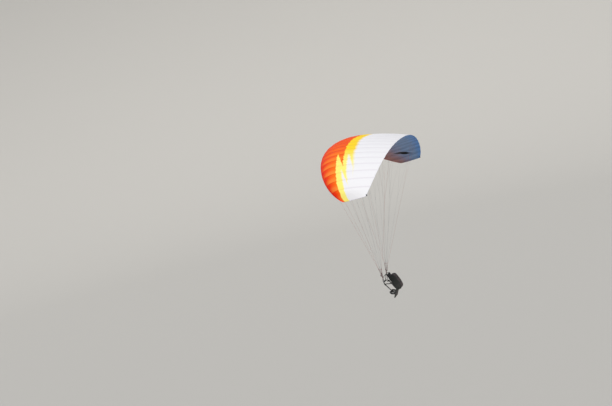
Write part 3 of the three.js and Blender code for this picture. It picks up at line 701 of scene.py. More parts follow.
for cloth in canopy_under.values():
    stiffen(cloth, CLOTH, -1)
    dress(cloth, under_finish, "canopy_under")
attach(canopy_under["centre"], "wing")
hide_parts("centre_lower_skin_and_ribs")
for side in ("left", "right"):
    cloth = canopy_under[side]
    runs = [f"{side}_{run}_lower_skin_and_ribs" for run in ("inner", "mid", "outer", "tip")]
    bend_with_brake(cloth, side, "under")
    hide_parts(*runs, f"{side}_brake_flap")


# Ribs
# Uncoated ripstop, one between every two cells, with oval ports that let the air through from cell to cell.
# Each is the same shape, scaled to its chord, and ends where the tail starts to bend.
RIB_END = 0.72
RIB_INSET = 0.006
RIB_CLOTH = 0.0008
RIB_TOP_STEPS = 40
RIB_UNDER_STEPS = 24
RIB_NOSE = (0.004, 0.015, 0.035)  # places on the chord under the nose
PORTS = [(0.155, 0.030, 0.036), (0.245, 0.034, 0.044), (0.43, 0.042, 0.040), (0.52, 0.034, 0.032),
         (0.68, 0.026, 0.020)]  # place on the chord, half length and half height
PORT_SIDES = 20
RIB_GREY = (0.62, 0.63, 0.66)
RIB_WHITE = (0.78, 0.78, 0.80)


def rib_outline(chord):
    """A rib's edge, in parts of the chord: from the back forwards over the top, and back underneath."""
    angles = [math.pi / 2 * i / RIB_TOP_STEPS for i in range(RIB_TOP_STEPS, 0, -1)]
    unders = [INLET_END + (RIB_END - INLET_END) * i / RIB_UNDER_STEPS for i in range(1, RIB_UNDER_STEPS + 1)]
    edge = [foil_point(RIB_END * (1 - math.cos(a)), 1, chord, 0, -RIB_INSET) for a in angles]
    edge.append((RIB_INSET, 0.0))
    edge += [foil_point(p, -1, chord, 0, -RIB_INSET) for p in (*RIB_NOSE, INLET_END, *unders)]
    return [(x / chord, y / chord) for x, y in edge]


def flat_plate(name, edge, holes):
    """A filled flat shape in X and Y with oval holes, as a mesh."""
    shape = bpy.data.curves.new(name, "CURVE")
    shape.dimensions = "2D"
    shape.fill_mode = "BOTH"
    turns = [math.tau * i / PORT_SIDES for i in range(PORT_SIDES)]
    rounds = [[(x + a * math.cos(t), y + b * math.sin(t)) for t in turns] for x, y, a, b in holes]
    for points in [edge, *rounds]:
        loop = shape.splines.new("POLY")
        loop.points.add(len(points) - 1)
        for point, (x, y) in zip(loop.points, points):
            point.co = (x, y, 0, 1)
        loop.use_cyclic_u = True
    plate = bpy.data.objects.new(name, shape)
    bpy.context.scene.collection.objects.link(plate)
    choose(plate)
    bpy.ops.object.convert(target="MESH")
    return bpy.context.object


def join_all(pieces, name):
    choose(*pieces)
    bpy.ops.object.join()
    pieces[0].name = name
    return pieces[0]


def stand_on_chord(plate, span):
    """Moves a plate that is drawn in parts of the chord to its place along the span."""
    nose, aft, up, chord = section_at(span)
    columns = (aft * chord, up * chord, aft.cross(up), nose)
    plate.data.transform(Matrix([[column[axis] for column in columns] for axis in range(3)] + [[0, 0, 0, 1]]))


canopy_ribs = {}
for side, sign in (("left", 1), ("right", -1)):
    plates = []
    ports = [(x, sum(foil_height(x, face, 1, 0) for face in (1, -1)) / 2, a, b) for x, a, b in PORTS]
    for rib in range(1, LAST_RIB + 1):
        plates.append(flat_plate("rib", rib_outline(section_at(rib_place(rib))[3]), ports))
        stand_on_chord(plates[-1], sign * rib_place(rib))
    canopy_ribs[side] = join_all(plates, f"canopy_ribs_{side}")

rib_finish, tree, shader = new_finish("rib_cloth", 0.6)
crumple = clouds(tree, object_place(tree), 9.0)
put(tree, shader.inputs["Base Color"], mixed(tree, ramp(tree, crumple, 0.35, 0.65), RIB_GREY, RIB_WHITE))
raise_surface(tree, shader, crumple, 0.3, 0.01)

for ribs in canopy_ribs.values():
    stiffen(ribs, RIB_CLOTH, 0)
    dress(ribs, rib_finish, "canopy_under", "wing")


# Line tabs
# Loops of flat tape, sewn into the under cloth's seams where the lines pull: at three places on each loaded
# rib, and at the trailing edge over the brake lines' ends. A larger tab marks the corner of each wing tip.
HANG = Vector((0.210, 0.134, -4.302))  # the left carabiner's lower bar, on the harness's swing axis
SIDEWAYS = Vector((1, 0, 0))
AFT = Vector((0, 1, 0))
UPRIGHT = Vector((0, 0, 1))
TAB_TAPE = 0.009
TAB_THICK = 0.0008
TAB_DROP = 0.012
TAB_LOOP = [(0, 0.17), (-0.29, -0.33), (-0.25, -0.83), (0, -1), (0.25, -0.83), (0.29, -0.33)]  # in drops
TAB_STEP = 0.004
CORNER_SIZE = 3.4  # the corner tab's size, against the others
CORNER_SPAN = 0.985
BRAKE_CELLS = (4, 5, 6, 7)
BRAKE_PLACE = 0.985
TAPE_COLUMNS = 4
CURVE_PULL = 0.33  # how far a smooth path keeps to its direction at each point


def smooth_path(points, step, closed=False):
    """Points at about even steps on a curve that runs through the given ones."""
    points = [Vector(p) for p in points]
    count = len(points)
    path = []
    for i in range(count if closed else count - 1):
        p1, p2 = points[i], points[(i + 1) % count]
        p0 = points[i - 1] if closed or i else p1 + (p1 - p2)
        p3 = points[(i + 2) % count] if closed or i + 2 < count else p2 + (p2 - p1)
        reach = (p2 - p1).length
        leave = (p2 - p0).normalized() * reach * CURVE_PULL
        arrive = (p3 - p1).normalized() * reach * CURVE_PULL
        parts = max(1, round(reach / step))
        for j in range(parts):
            t = j / parts
            a, b, c, d = (1 - t) ** 3, 3 * t * (1 - t) ** 2, 3 * t * t * (1 - t), t**3
            path.append(p1 * a + (p1 + leave) * b + (p2 - arrive) * c + p2 * d)
    return path if closed else path + [points[-1]]


def path_frames(points, across, closed):
    """For each point of a path: itself, the way across, the way square to both, and its distance along."""
    frames, distance = [], 0.0
    for i, point in enumerate(points):
        before = points[i - 1] if i or closed else point
        after = points[(i + 1) % len(points)] if i + 1 < len(points) or closed else point
        along = (after - before).normalized()
        side = (across - along * across.dot(along)).normalized()
        frames.append((point, side, along.cross(side), distance))
        distance += (points[(i + 1) % len(points)] - point).length
    if closed:
        frames.append((*frames[0][:3], distance))
    return frames


def swept_grid(name, columns, frames, place):
    """A grid along a path; place gives a point and its UV from its column's share, row and frame."""
    rows = len(frames) - 1
    bpy.ops.object.select_all(action="DESELECT")
    bpy.ops.mesh.primitive_grid_add(x_subdivisions=columns, y_subdivisions=rows, size=2)
    made = bpy.context.object
    made.name = name
    marks = {}
    for vertex in made.data.vertices:
        column = round((vertex.co.x + 1) / 2 * columns) / columns
        row = round((vertex.co.y + 1) / 2 * rows)
        vertex.co, marks[vertex.index] = place(column, row, frames[row])
    run = made.data.uv_layers[0]
    run.name = "run"
    for loop in made.data.loops:
        run.data[loop.index].uv = marks[loop.vertex_index]
    return made


def tape(name, points, width, thickness, across, closed=False):
    """A flat strap that follows a path. Its UV map holds metres across and along it."""
    def place(column, row, at):
        point, side, over, distance = at
        return point + side * (column - 0.5) * width, ((column - 0.5) * width, distance)

    strap = swept_grid(name, TAPE_COLUMNS, path_frames(points, across, closed), place)
    stiffen(strap, thickness, 0, merge=True)
    return strap


def rod_along(name, points, radius, sides, across, closed=False, flat=1.0):
    """A rod or cord that follows a path, flattened by flat. The radius is a number, or one for each point."""
    frames = path_frames(points, across, closed)
    radii = radius if isinstance(radius, list) else [radius] * len(frames)

    def place(column, row, at):
        point, side, over, distance = at
        turn = math.tau * column
        return point + (side * math.cos(turn) + over * math.sin(turn) * flat) * radii[row], (column, distance)

    rod = swept_grid(name, sides, frames, place)
    mend(rod, merge=True, cap=not closed)
    bpy.ops.object.shade_smooth_by_angle(angle=SMOOTH_BELOW)
    return rod


def on_under_cloth(span, place):
    nose, aft, up, chord = section_at(span)
    x, y = foil_point(place, -1, chord, 0, 0.0)
    return nose + aft * x + up * y


def tab_at(foot, span, size=1.0):
    """A loop of tape that hangs from a seam, with its sides fore and aft."""
    nose, aft, up, chord = section_at(span)
    span_way = aft.cross(up)
    fore = up.cross(span_way).normalized()
    points = [foot + (fore * a + up * b) * TAB_DROP * size for a, b in TAB_LOOP]
    way = smooth_path(points, TAB_STEP * size, closed=True)
    return tape("tab", way, TAB_TAPE * size, TAB_THICK * size, span_way, closed=True)


line_tabs, tail_tabs = {}, {}
for side, sign in (("left", 1), ("right", -1)):
    loaded = [(sign * rib_place(rib), place) for rib in LOADED_RIBS for place in LINE_PLACES]
    braked = [(sign * 2 * cell / CELLS, BRAKE_PLACE) for cell in BRAKE_CELLS]
    nose, aft, up, chord = section_at(sign * CORNER_SPAN)
    tabs = [tab_at(on_under_cloth(span, place), span) for span, place in loaded]
    tabs.append(tab_at(nose + aft * (chord - TAB_DROP), sign * CORNER_SPAN, CORNER_SIZE))
    line_tabs[side] = join_all(tabs, f"line_tabs_{side}")
    tabs = [tab_at(on_under_cloth(span, place), span) for span, place in braked]
    tail_tabs[side] = join_all(tabs, f"tail_tabs_{side}")

# woven tape and webbing: ribs of thread across it, finer ones along it, and a firmer edge
weave, given, out = new_group(
    "woven webbing", {"Run": (0, 0, 0), "Thread": 0.0016, "Width": 0.02}, ("Height", "Worn", "Edge"),
)
run = axes(weave, given["Run"])
waves = []
for socket, pitch in ((run["X"], 0.7), (run["Y"], 1.0)):
    turns = sums(weave, "DIVIDE", socket, times(weave, given["Thread"], pitch))
    waves.append(sums(weave, "SINE", times(weave, turns, math.tau)))
put(weave, out["Height"], sums(weave, "MULTIPLY_ADD", times(weave, *waves), 0.5, 0.5))
put(weave, out["Worn"], ramp(weave, clouds(weave, given["Run"], 55.0, 4.0), 0.40, 0.70))
aside = sums(weave, "DIVIDE", sums(weave, "ABSOLUTE", run["X"]), times(weave, given["Width"], 0.5))
put(weave, out["Edge"], ramp(weave, aside, 0.80, 0.95))


def webbing_finish(name, dark, pale, width, thread=0.0016, edge=None):
    """A woven strap's material: dark threads that pale where they are worn, and an edge of its own colour."""
    finish, tree, shader = new_finish(name, 0.75)
    marks = use_group(tree, weave, Run=uv_of(tree, "run"), Thread=thread, Width=width)
    cloth = mixed(tree, times(tree, marks["Worn"], 0.5), dark, pale)
    cloth = mixed(tree, times(tree, marks["Height"], 0.35), cloth, pale)
    put(tree, shader.inputs["Base Color"], mixed(tree, marks["Edge"], cloth, edge or dark))
    raise_surface(tree, shader, marks["Height"], 0.5, 0.0006)
    return finish


tab_finish = webbing_finish("tab_tape", (0.05, 0.06, 0.09), (0.16, 0.18, 0.24), TAB_TAPE)
for side in ("left", "right"):
    dress(line_tabs[side], tab_finish, "canopy_under", "wing")
    dress(tail_tabs[side], tab_finish, "canopy_under")
    bend_with_brake(tail_tabs[side], side, "under")


# Lines
# Braided cord with sewn loops at both ends. In each row three mains rise from a link on the riser, and each
# forks into two branches, whose eyes pass through the tabs on the under cloth. The leading row is red, the
# others grey.
LINE_ROWS = {"a": (0.09, 0.60), "b": (0.34, 0.60), "c": (0.61, 0.58)}  # places on the chord and of the fork
LINE_GROUPS = ((1, 3), (5, 7), (9, 11))
MAIN_LINE = 0.0012
BRANCH_LINE = 0.0009
LINE_SIDES = 8
SEWN_END = 0.06
SEWN_TAPER = 0.004
SEWN_LINE = (1.35, 1.3)  # a sewn end's radius at both ends of the seam, in parts of the cord's
EYE_LINE = 0.85  # and an eye's
EYE_LENGTH = 0.014
EYE_LOOP = [(0.004, 0.0028), (0.010, 0.0036), (0.014, 0.0016), (0.014, -0.0016), (0.010, -0.0036),
            (0.004, -0.0028), (0, 0)]
EYE_LAP = 0.001  # how far an eye reaches into its tab
FORK_STEPS = (-0.009, -0.006, -0.002, 0.003, 0.007, 0.010)  # along a fork's sleeve
FORK_RADII = (0.0026, 0.003, 0.0028, 0.0022)  # between the sleeve's ends
LINK_EYE = 0.0036
LINK_EYE_RISE = 0.006
LINK_EYE_TURNS = (35, 90, 145, 200, 250, 300, 345)  # degrees round the link, from over it
LINK_SPACING = 0.004  # from line to line on the link
LINK_TOP = 0.028  # the link's upper bar above the riser's end
RISER_LENGTH = 0.430
RISER_ROOT = 0.062
BAR_GAP = 0.099


def rigging_places(sign):
    """The carabiner's upper bar, the place where the riser's straps part, and the three straps' ends."""
    bar = Vector((sign * HANG.x, HANG.y, HANG.z + BAR_GAP))
    root = bar + UPRIGHT * RISER_ROOT
    tops = {}
    for row, (line_place, fork) in LINE_ROWS.items():
        ends = [on_under_cloth(sign * rib_place(rib), line_place) for rib in LOADED_RIBS]
        middle = sum(ends, Vector()) / len(ends)
        tops[row] = root + (middle - root).normalized() * (RISER_LENGTH - RISER_ROOT)
    return bar, root, tops


def below_tab(span, place):
    """Where an eye hangs in the tab at this place of the under cloth."""
    return on_under_cloth(span, place) - section_at(span)[2] * (TAB_DROP - EYE_LAP)


def cord_with_eye(start, end, radius):
    """A cord from start to an eye round a tab at its end."""
    along = (end - start).normalized()
    side = (SIDEWAYS - along * along.x).normalized()
    foot = end - along * EYE_LENGTH
    points = [start, start + along * SEWN_END, start + along * (SEWN_END + SEWN_TAPER),
              foot - along * (SEWN_END + SEWN_TAPER), foot - along * SEWN_END, foot]
    points += [foot + along * a + side * b for a, b in EYE_LOOP]
    shares = [*SEWN_LINE, 1, 1, *SEWN_LINE[::-1]] + [EYE_LINE] * len(EYE_LOOP)
    return rod_along("cord", points, [radius * share for share in shares], LINE_SIDES, SIDEWAYS)


def fork_sleeve(place, along, radius):
    """The short stitched sleeve where one cord's loop holds two others."""
    points = [place + along * z for z in FORK_STEPS]
    return rod_along("sleeve", points, [radius, *FORK_RADII, radius], LINE_SIDES, AFT)


lines = {}
for side, sign in (("left", 1), ("right", -1)):
    bar, root, tops = rigging_places(sign)
    for row, (line_place, fork_place) in LINE_ROWS.items():
        up = (tops[row] - root).normalized()
        wide = (SIDEWAYS - up * up.x).normalized()
        fore = wide.cross(up)
        cords = []
        for group, ribs in enumerate(LINE_GROUPS):
            ends = [below_tab(sign * rib_place(rib), line_place) for rib in ribs]
            bent = tops[row] + up * LINK_TOP + wide * (group - 1) * LINK_SPACING * sign
            start = bent + up * LINK_EYE_RISE
            fork = start.lerp(sum(ends, Vector()) / 2, fork_place)
            along = (fork - start).normalized()
            turns = [math.radians(a) for a in LINK_EYE_TURNS]
            points = [bent + up * math.cos(a) * LINK_EYE + fore * math.sin(a) * LINK_EYE for a in turns]
            points += [start, start + along * SEWN_END, start + along * (SEWN_END + SEWN_TAPER),
                       fork - along * SEWN_END, fork]
            shares = [EYE_LINE] * len(turns) + [1.3, 1.3, 1, 1, 1.3]
            cords.append(rod_along("cord", points, [MAIN_LINE * share for share in shares], LINE_SIDES, wide))
            cords.append(fork_sleeve(fork, along, MAIN_LINE))
            cords += [cord_with_eye(fork, end, BRANCH_LINE) for end in ends]
        lines[f"{side}_{row}"] = join_all(cords, f"lines_{row}_{side}")

# braid: two sets of threads that cross round the cord
braid, given, out = new_group("braided cord", {"Run": (0, 0, 0), "Pitch": 0.004}, ("Height", "Worn"))
run = axes(braid, given["Run"])
round_turn = times(braid, run["X"], 4 * math.tau)
climb = times(braid, sums(braid, "DIVIDE", run["Y"], given["Pitch"]), math.tau)
crossing = [sums(braid, "SINE", sums(braid, way, round_turn, climb)) for way in ("ADD", "SUBTRACT")]
put(braid, out["Height"], sums(braid, "MULTIPLY_ADD", times(braid, *crossing), 0.5, 0.5))
put(braid, out["Worn"], ramp(braid, clouds(braid, given["Run"], 9.0), 0.35, 0.70))


def cord_finish(name, dark, pale):
    finish, tree, shader = new_finish(name, 0.7)
    marks = use_group(tree, braid, Run=uv_of(tree, "run"))
    thread = mixed(tree, marks["Height"], dark, pale)
    put(tree, shader.inputs["Base Color"], mixed(tree, times(tree, marks["Worn"], 0.3), thread, pale))
    raise_surface(tree, shader, marks["Height"], 0.6, 0.0004)
    return finish


red_cord = cord_finish("red_cord", (0.30, 0.028, 0.020), (0.62, 0.09, 0.06))
grey_cord = cord_finish("grey_cord", (0.20, 0.20, 0.215), (0.48, 0.48, 0.50))
for side in ("left", "right"):
    for row in LINE_ROWS:
        cords = lines[f"{side}_{row}"]
        finish, slot = (red_cord, "line_red") if row == "a" else (grey_cord, "line_grey")
        dress(cords, finish, slot, "wing")
        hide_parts(f"{side}_{row}_lines")


# Brake lines
# One red cord on each side runs from the toggle up through a ring on the rear riser, and forks twice into
# four that end in the tabs on the trailing edge. Cord and toggle move as one when the brake is pulled.
GUIDE_UP = 0.72  # the ring's place on the rear strap
GUIDE_OUT = 0.052
GUIDE_AFT = 0.006
TOGGLE_DROP = 0.042
BRAKE_FORK = 0.60
BRAKE_SPLIT = 0.55
BRAKE_MAIN = 0.0013
BRAKE_BRANCH = 0.0008
BRAKE_TIE = 0.012  # the doubled cord above the toggle, and the taper over it
BRAKE_TIE_TOP = 0.014


def brake_places(sign):
    """Where the brake's ring is fixed on the strap, the ring's middle and the way that the line leaves it."""
    bar, root, tops = rigging_places(sign)
    rear = root.lerp(tops["c"], GUIDE_UP)
    guide = rear + Vector((sign * GUIDE_OUT, GUIDE_AFT, 0))
    ends = [on_under_cloth(sign * 2 * cell / CELLS, BRAKE_PLACE) for cell in BRAKE_CELLS]
    middle = sum(ends, Vector()) / len(ends)
    return rear, guide, (middle - guide).normalized(), (middle - guide).length


for side, sign in (("left", 1), ("right", -1)):
    rear, guide, along, reach = brake_places(sign)
    ends = [below_tab(sign * 2 * cell / CELLS, BRAKE_PLACE) for cell in BRAKE_CELLS]
    foot = guide - along * TOGGLE_DROP
    fork = guide + along * reach * BRAKE_FORK
    points = [foot, foot + along * BRAKE_TIE, foot + along * BRAKE_TIE_TOP, fork - along * SEWN_END, fork]
    radii = [BRAKE_MAIN * share for share in (1.5, 1.5, 1, 1, 1.3)]
    cords = [rod_along("cord", points, radii, LINE_SIDES, SIDEWAYS), fork_sleeve(fork, along, BRAKE_MAIN)]
    for pair in (ends[:2], ends[2:]):
        parting = fork.lerp((pair[0] + pair[1]) / 2, BRAKE_SPLIT)
        way = (parting - fork).normalized()
        points = [fork, fork + way * SEWN_END, parting - way * SEWN_END, parting]
        radii = [BRAKE_BRANCH * share for share in (1.3, 1, 1, 1.3)]
        cords.append(rod_along("cord", points, radii, LINE_SIDES, SIDEWAYS))
        cords.append(fork_sleeve(parting, way, BRAKE_BRANCH))
        cords += [cord_with_eye(parting, end, BRAKE_BRANCH) for end in pair]
    brake_line = join_all(cords, f"brake_lines_{side}")
    dress(brake_line, red_cord, "line_red", f"{side}_brake")
    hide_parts(f"{side}_brake_lines")


# Risers
# Each is sewn from one length of polyester webbing that loops through the carabiner, with three straps bound
# in a sleeve above it. Each strap turns back round a steel link for its row of lines, and is sewn down.
RISER_WIDTH = 0.022
RISER_THICK = 0.0028
RISER_DARK = (0.022, 0.023, 0.027)
RISER_PALE = (0.085, 0.088, 0.10)
RISER_EDGE = (0.42, 0.028, 0.020)
SLEEVE_DARK = (0.012, 0.012, 0.014)
SLEEVE_PALE = (0.05, 0.05, 0.055)
SLEEVE_HEIGHT = 0.036
SLEEVE_THICK = 0.0016
SLEEVE_HALF = (0.0125, 0.0075)
SLEEVE_DROP = 0.014
SLEEVE_CORNERS = [(1, 0.7), (0.7, 1), (-0.7, 1), (-1, 0.7), (-1, -0.7), (-0.7, -1), (0.7, -1), (1, -0.7)]
# the webbing's loop round the carabiner's bar, and its turn back round the link, aft and up from each
BAR_LOOP = [(0, -0.0076), (-0.0066, -0.005), (-0.0083, 0.002), (-0.0083, 0.014), (-0.0045, 0.028),
            (0, 0.0375), (0.0045, 0.028), (0.0083, 0.014), (0.0083, 0.002), (0.0066, -0.005)]
LINK_TURN = [(-0.0034, -0.012), (-0.0036, 0.0), (-0.0020, 0.0030), (0, 0.0036), (0.0020, 0.0030),
             (0.0036, 0.0), (0.0030, -0.012), (0.0029, -0.040)]
STRAP_SPACING = 0.0034
STRAPS_BOUND = (0.030, 0.004)  # how far below their parting the three straps run side by side
STRAPS_APART = (0.12, 0.86)  # where each runs alone, in parts of its length
LINK_HEIGHT = 0.028
LINK_HALF = 0.011
LINK_ROD = 0.0018
LINK_OVAL = [(-0.55, 0), (0.55, 0), (1, 0.22), (1, 0.8), (0.55, 1), (-0.55, 1), (-1, 0.8), (-1, 0.22)]
NUT_HEIGHTS = (0.0075, 0.0085, 0.0185, 0.0195)
NUT_RADII = [0.0022, 0.0033, 0.0033, 0.0022]
RING_RADIUS = 0.0044
RING_ROD = 0.0020
GUIDE_STRAP = (0.012, 0.0022)  # width and thickness
GUIDE_STRAP_START = 0.0062  # from the ring's middle
STEEL_BRIGHT = (0.62, 0.63, 0.65)
STEEL_DULL = (0.42, 0.43, 0.45)

riser_finish = webbing_finish("riser_webbing", RISER_DARK, RISER_PALE, RISER_WIDTH, edge=RISER_EDGE)
sleeve_finish = webbing_finish("riser_sleeve", SLEEVE_DARK, SLEEVE_PALE, SLEEVE_HEIGHT, thread=0.0012)

# plain steel and satin aluminium: fine scratches along the piece, dulled where it is handled
metal_marks, given, out = new_group("handled metal", {"Run": (0, 0, 0)}, ("Rough", "Scratch"))
drawn_out = stretched(metal_marks, given["Run"], (14, 420, 1))
put(metal_marks, out["Scratch"], clouds(metal_marks, drawn_out, 5.0, 5.0))
smudge = clouds(metal_marks, given["Run"], 26.0)
put(metal_marks, out["Rough"], sums(metal_marks, "MULTIPLY_ADD", smudge, 0.25, 0.20))


def metal_finish(name, bright, dull):
    finish, tree, shader = new_finish(name, 0.3, metallic=1.0)
    marks = use_group(tree, metal_marks, Run=uv_of(tree, "run"))
    scratched = ramp(tree, marks["Scratch"], 0.35, 0.70)
    put(tree, shader.inputs["Base Color"], mixed(tree, scratched, bright, dull))
    put(tree, shader.inputs["Roughness"], marks["Rough"])
    raise_surface(tree, shader, marks["Scratch"], 0.12, 0.0004)
    return finish


def bent_loop(name, corners, step, radius, sides, across):
    """A rod bent into a closed loop through the given corners."""
    return rod_along(name, smooth_path(corners, step, closed=True), radius, sides, across, closed=True)


steel_finish = metal_finish("link_steel", STEEL_BRIGHT, STEEL_DULL)

for side, sign in (("left", 1), ("right", -1)):
    bar, root, tops = rigging_places(sign)
    way = smooth_path([bar + Vector((0, y, z)) for y, z in BAR_LOOP], 0.004, closed=True)
    straps = [tape("strap", way, RISER_WIDTH, RISER_THICK, SIDEWAYS, closed=True)]
    metal = []
    for layer, top in enumerate(tops.values()):
        up = (top - root).normalized()
        wide = (SIDEWAYS - up * up.x).normalized()
        fore = wide.cross(up)
        depth = AFT * (layer - 1) * STRAP_SPACING
        points = [root + depth - UPRIGHT * drop for drop in STRAPS_BOUND]
        points += [root.lerp(top, STRAPS_APART[0]) + depth * 0.4, root.lerp(top, STRAPS_APART[1])]
        points += [top + up * b + fore * a for a, b in LINK_TURN]
        straps.append(tape("strap", smooth_path(points, 0.009), RISER_WIDTH, RISER_THICK, SIDEWAYS))
        corners = [top + wide * a * LINK_HALF + up * b * LINK_HEIGHT for a, b in LINK_OVAL]
        metal.append(bent_loop("link", corners, 0.0025, LINK_ROD, 10, fore))
        nut = [top + wide * LINK_HALF * 1.02 + up * z for z in NUT_HEIGHTS]
        metal.append(rod_along("nut", nut, NUT_RADII, 6, fore))
    riser = join_all(straps, f"riser_{side}")

    wrap = [root + Vector((a * SLEEVE_HALF[0], b * SLEEVE_HALF[1], -SLEEVE_DROP)) for a, b in SLEEVE_CORNERS]
    way = smooth_path(wrap, 0.003, closed=True)
    sleeve = tape(f"riser_sleeve_{side}", way, SLEEVE_HEIGHT, SLEEVE_THICK, UPRIGHT, closed=True)

    rear, guide, along, reach = brake_places(sign)
    way = SIDEWAYS.cross(along).normalized()
    other = along.cross(way)
    turns = np.linspace(0, math.tau, 24, False)
    ring = [guide + way * math.cos(a) * RING_RADIUS + other * math.sin(a) * RING_RADIUS for a in turns]
    metal.append(rod_along("ring", ring, RING_ROD, 10, along, closed=True))
    reach_in = guide + (rear - guide).normalized() * GUIDE_STRAP_START
    guide_strap = tape(f"guide_strap_{side}", smooth_path([reach_in, rear], 0.006), *GUIDE_STRAP, along)
    dress(join_all(metal, f"riser_links_{side}"), steel_finish, "alloy", "wing")
    for piece, finish in ((riser, riser_finish), (sleeve, sleeve_finish), (guide_strap, riser_finish)):
        dress(piece, finish, "riser_webbing", "wing")
    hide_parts(f"{side}_riser")


# Brake toggles
# A loop of webbing on each side, below the ring on the rear riser. The cord is tied through the top of the
# loop, and a padded sleeve makes a grip round the bottom of it.
TOGGLE_LENGTH = 0.118
TOGGLE_WIDTH = 0.058
TOGGLE_WEBBING = 0.020
TOGGLE_THICK = 0.0030
TOGGLE_GAP = 0.0003  # between the cord's foot and the loop
TOGGLE_HALF = [(0, 0.03), (0.18, 0.12), (0.42, 0.55), (0.45, 0.80), (0.28, 0.96), (0, 1)]
TOGGLE_STEP = 0.006
GRIP_HALF = 0.0125
GRIP_FLAT = 0.55
KNOT_HEIGHTS = (0.006, 0.003, 0.0, -0.004, -0.008)
KNOT_RADII = [0.0016, 0.0035, 0.0044, 0.0040, 0.0018]
TOGGLE_DARK = (0.025, 0.025, 0.03)
TOGGLE_PALE = (0.10, 0.10, 0.11)
TOGGLE_EDGE = (0.40, 0.028, 0.020)
STITCH = 0.0028

toggle_finish = webbing_finish("toggle_webbing", TOGGLE_DARK, TOGGLE_PALE, TOGGLE_WEBBING, edge=TOGGLE_EDGE)
foam_marks, given, out = new_group(
    "knitted foam cover", {"Run": (0, 0, 0), "Stitch": STITCH}, ("Height", "Worn"),
)
cells = add_node(foam_marks, "ShaderNodeTexVoronoi", feature="F1")
put(foam_marks, cells.inputs["Vector"], given["Run"])
put(foam_marks, cells.inputs["Scale"], sums(foam_marks, "DIVIDE", 1.0, given["Stitch"]))
cells.inputs["Randomness"].default_value = 0.25
put(foam_marks, out["Height"], less(foam_marks, 1.0, cells.outputs["Distance"]))
put(foam_marks, out["Worn"], ramp(foam_marks, clouds(foam_marks, given["Run"], 16.0, 4.0), 0.38, 0.68))


def knit_finish(name, dark, pale, stitch=STITCH):
    """Knitted mesh over foam."""
    finish, tree, shader = new_finish(name, 0.85)
    marks = use_group(tree, foam_marks, Run=object_place(tree), Stitch=stitch)
    cloth = mixed(tree, ramp(tree, marks["Height"], 0.35, 0.9), dark, pale)
    put(tree, shader.inputs["Base Color"], mixed(tree, times(tree, marks["Worn"], 0.35), cloth, pale))
    raise_surface(tree, shader, marks["Height"], 0.5, 0.0008)
    return finish


def padded_rod(name, points, radius, sides, across, flat, end):
    """A padded sleeve along a path, drawn in at both ends."""
    shares = [end, 0.85] + [1.0] * (len(points) - 4) + [0.85, end]
    return rod_along(name, points, [radius * share for share in shares], sides, across, flat=flat)


grip_finish = knit_finish("toggle_grip_knit", (0.02, 0.02, 0.022), (0.07, 0.07, 0.075))

for side, sign in (("left", 1), ("right", -1)):
    rear, guide, along, reach = brake_places(sign)
    foot = guide - along * (TOGGLE_DROP + TOGGLE_GAP)
    wide = (SIDEWAYS - along * along.x).normalized()
    fore = along.cross(wide)
    loop = TOGGLE_HALF + [(-u, v) for u, v in TOGGLE_HALF[-2:0:-1]]
    points = [foot + fore * u * TOGGLE_WIDTH - along * v * TOGGLE_LENGTH for u, v in loop]
    way = smooth_path(points, TOGGLE_STEP, closed=True)
    toggle = tape(f"toggle_{side}", way, TOGGLE_WEBBING, TOGGLE_THICK, wide, closed=True)
    grip_way = smooth_path(points[3:8], TOGGLE_STEP)
    grip = padded_rod(f"toggle_grip_{side}", grip_way, GRIP_HALF, 16, wide, GRIP_FLAT, 0.6)
    knot = rod_along(f"toggle_knot_{side}", [foot + along * z for z in KNOT_HEIGHTS], KNOT_RADII, 12, wide)
    dress(toggle, toggle_finish, "toggle_webbing", f"{side}_brake")
    dress(grip, grip_finish, "toggle_webbing", f"{side}_brake")
    dress(knot, red_cord, "line_red", f"{side}_brake")
    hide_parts(f"{side}_brake_toggle")


# Carabiners
# Forged aluminium ovals, with the riser on the upper bar and the harness on the lower. The gate on the outer
# side turns on a pin at its foot, and a knurled sleeve screws over its top.
OVAL_HALF = (0.0245, 0.0495)
OVAL_CORNER = 0.0165
OVAL_ROD = 0.0055
CORNER_STEPS = 8
PIN_DROP = 0.031
PIN_REACH = (-0.0068, -0.0064, 0.0064, 0.0068)
PIN_RADII = [0.0012, 0.0020, 0.0020, 0.0012]
KNURLS = 31
KNURL_FOOT = -0.014
KNURL_STEP = 0.0012
KNURL_RADII = (0.0058, 0.0066, 0.0070)  # at the ends, in the grooves and on the ridges

alloy_finish = metal_finish("forged_alloy", (0.50, 0.52, 0.55), (0.36, 0.37, 0.39))
sleeve_metal = metal_finish("dark_anodised", (0.06, 0.062, 0.07), (0.14, 0.14, 0.15))

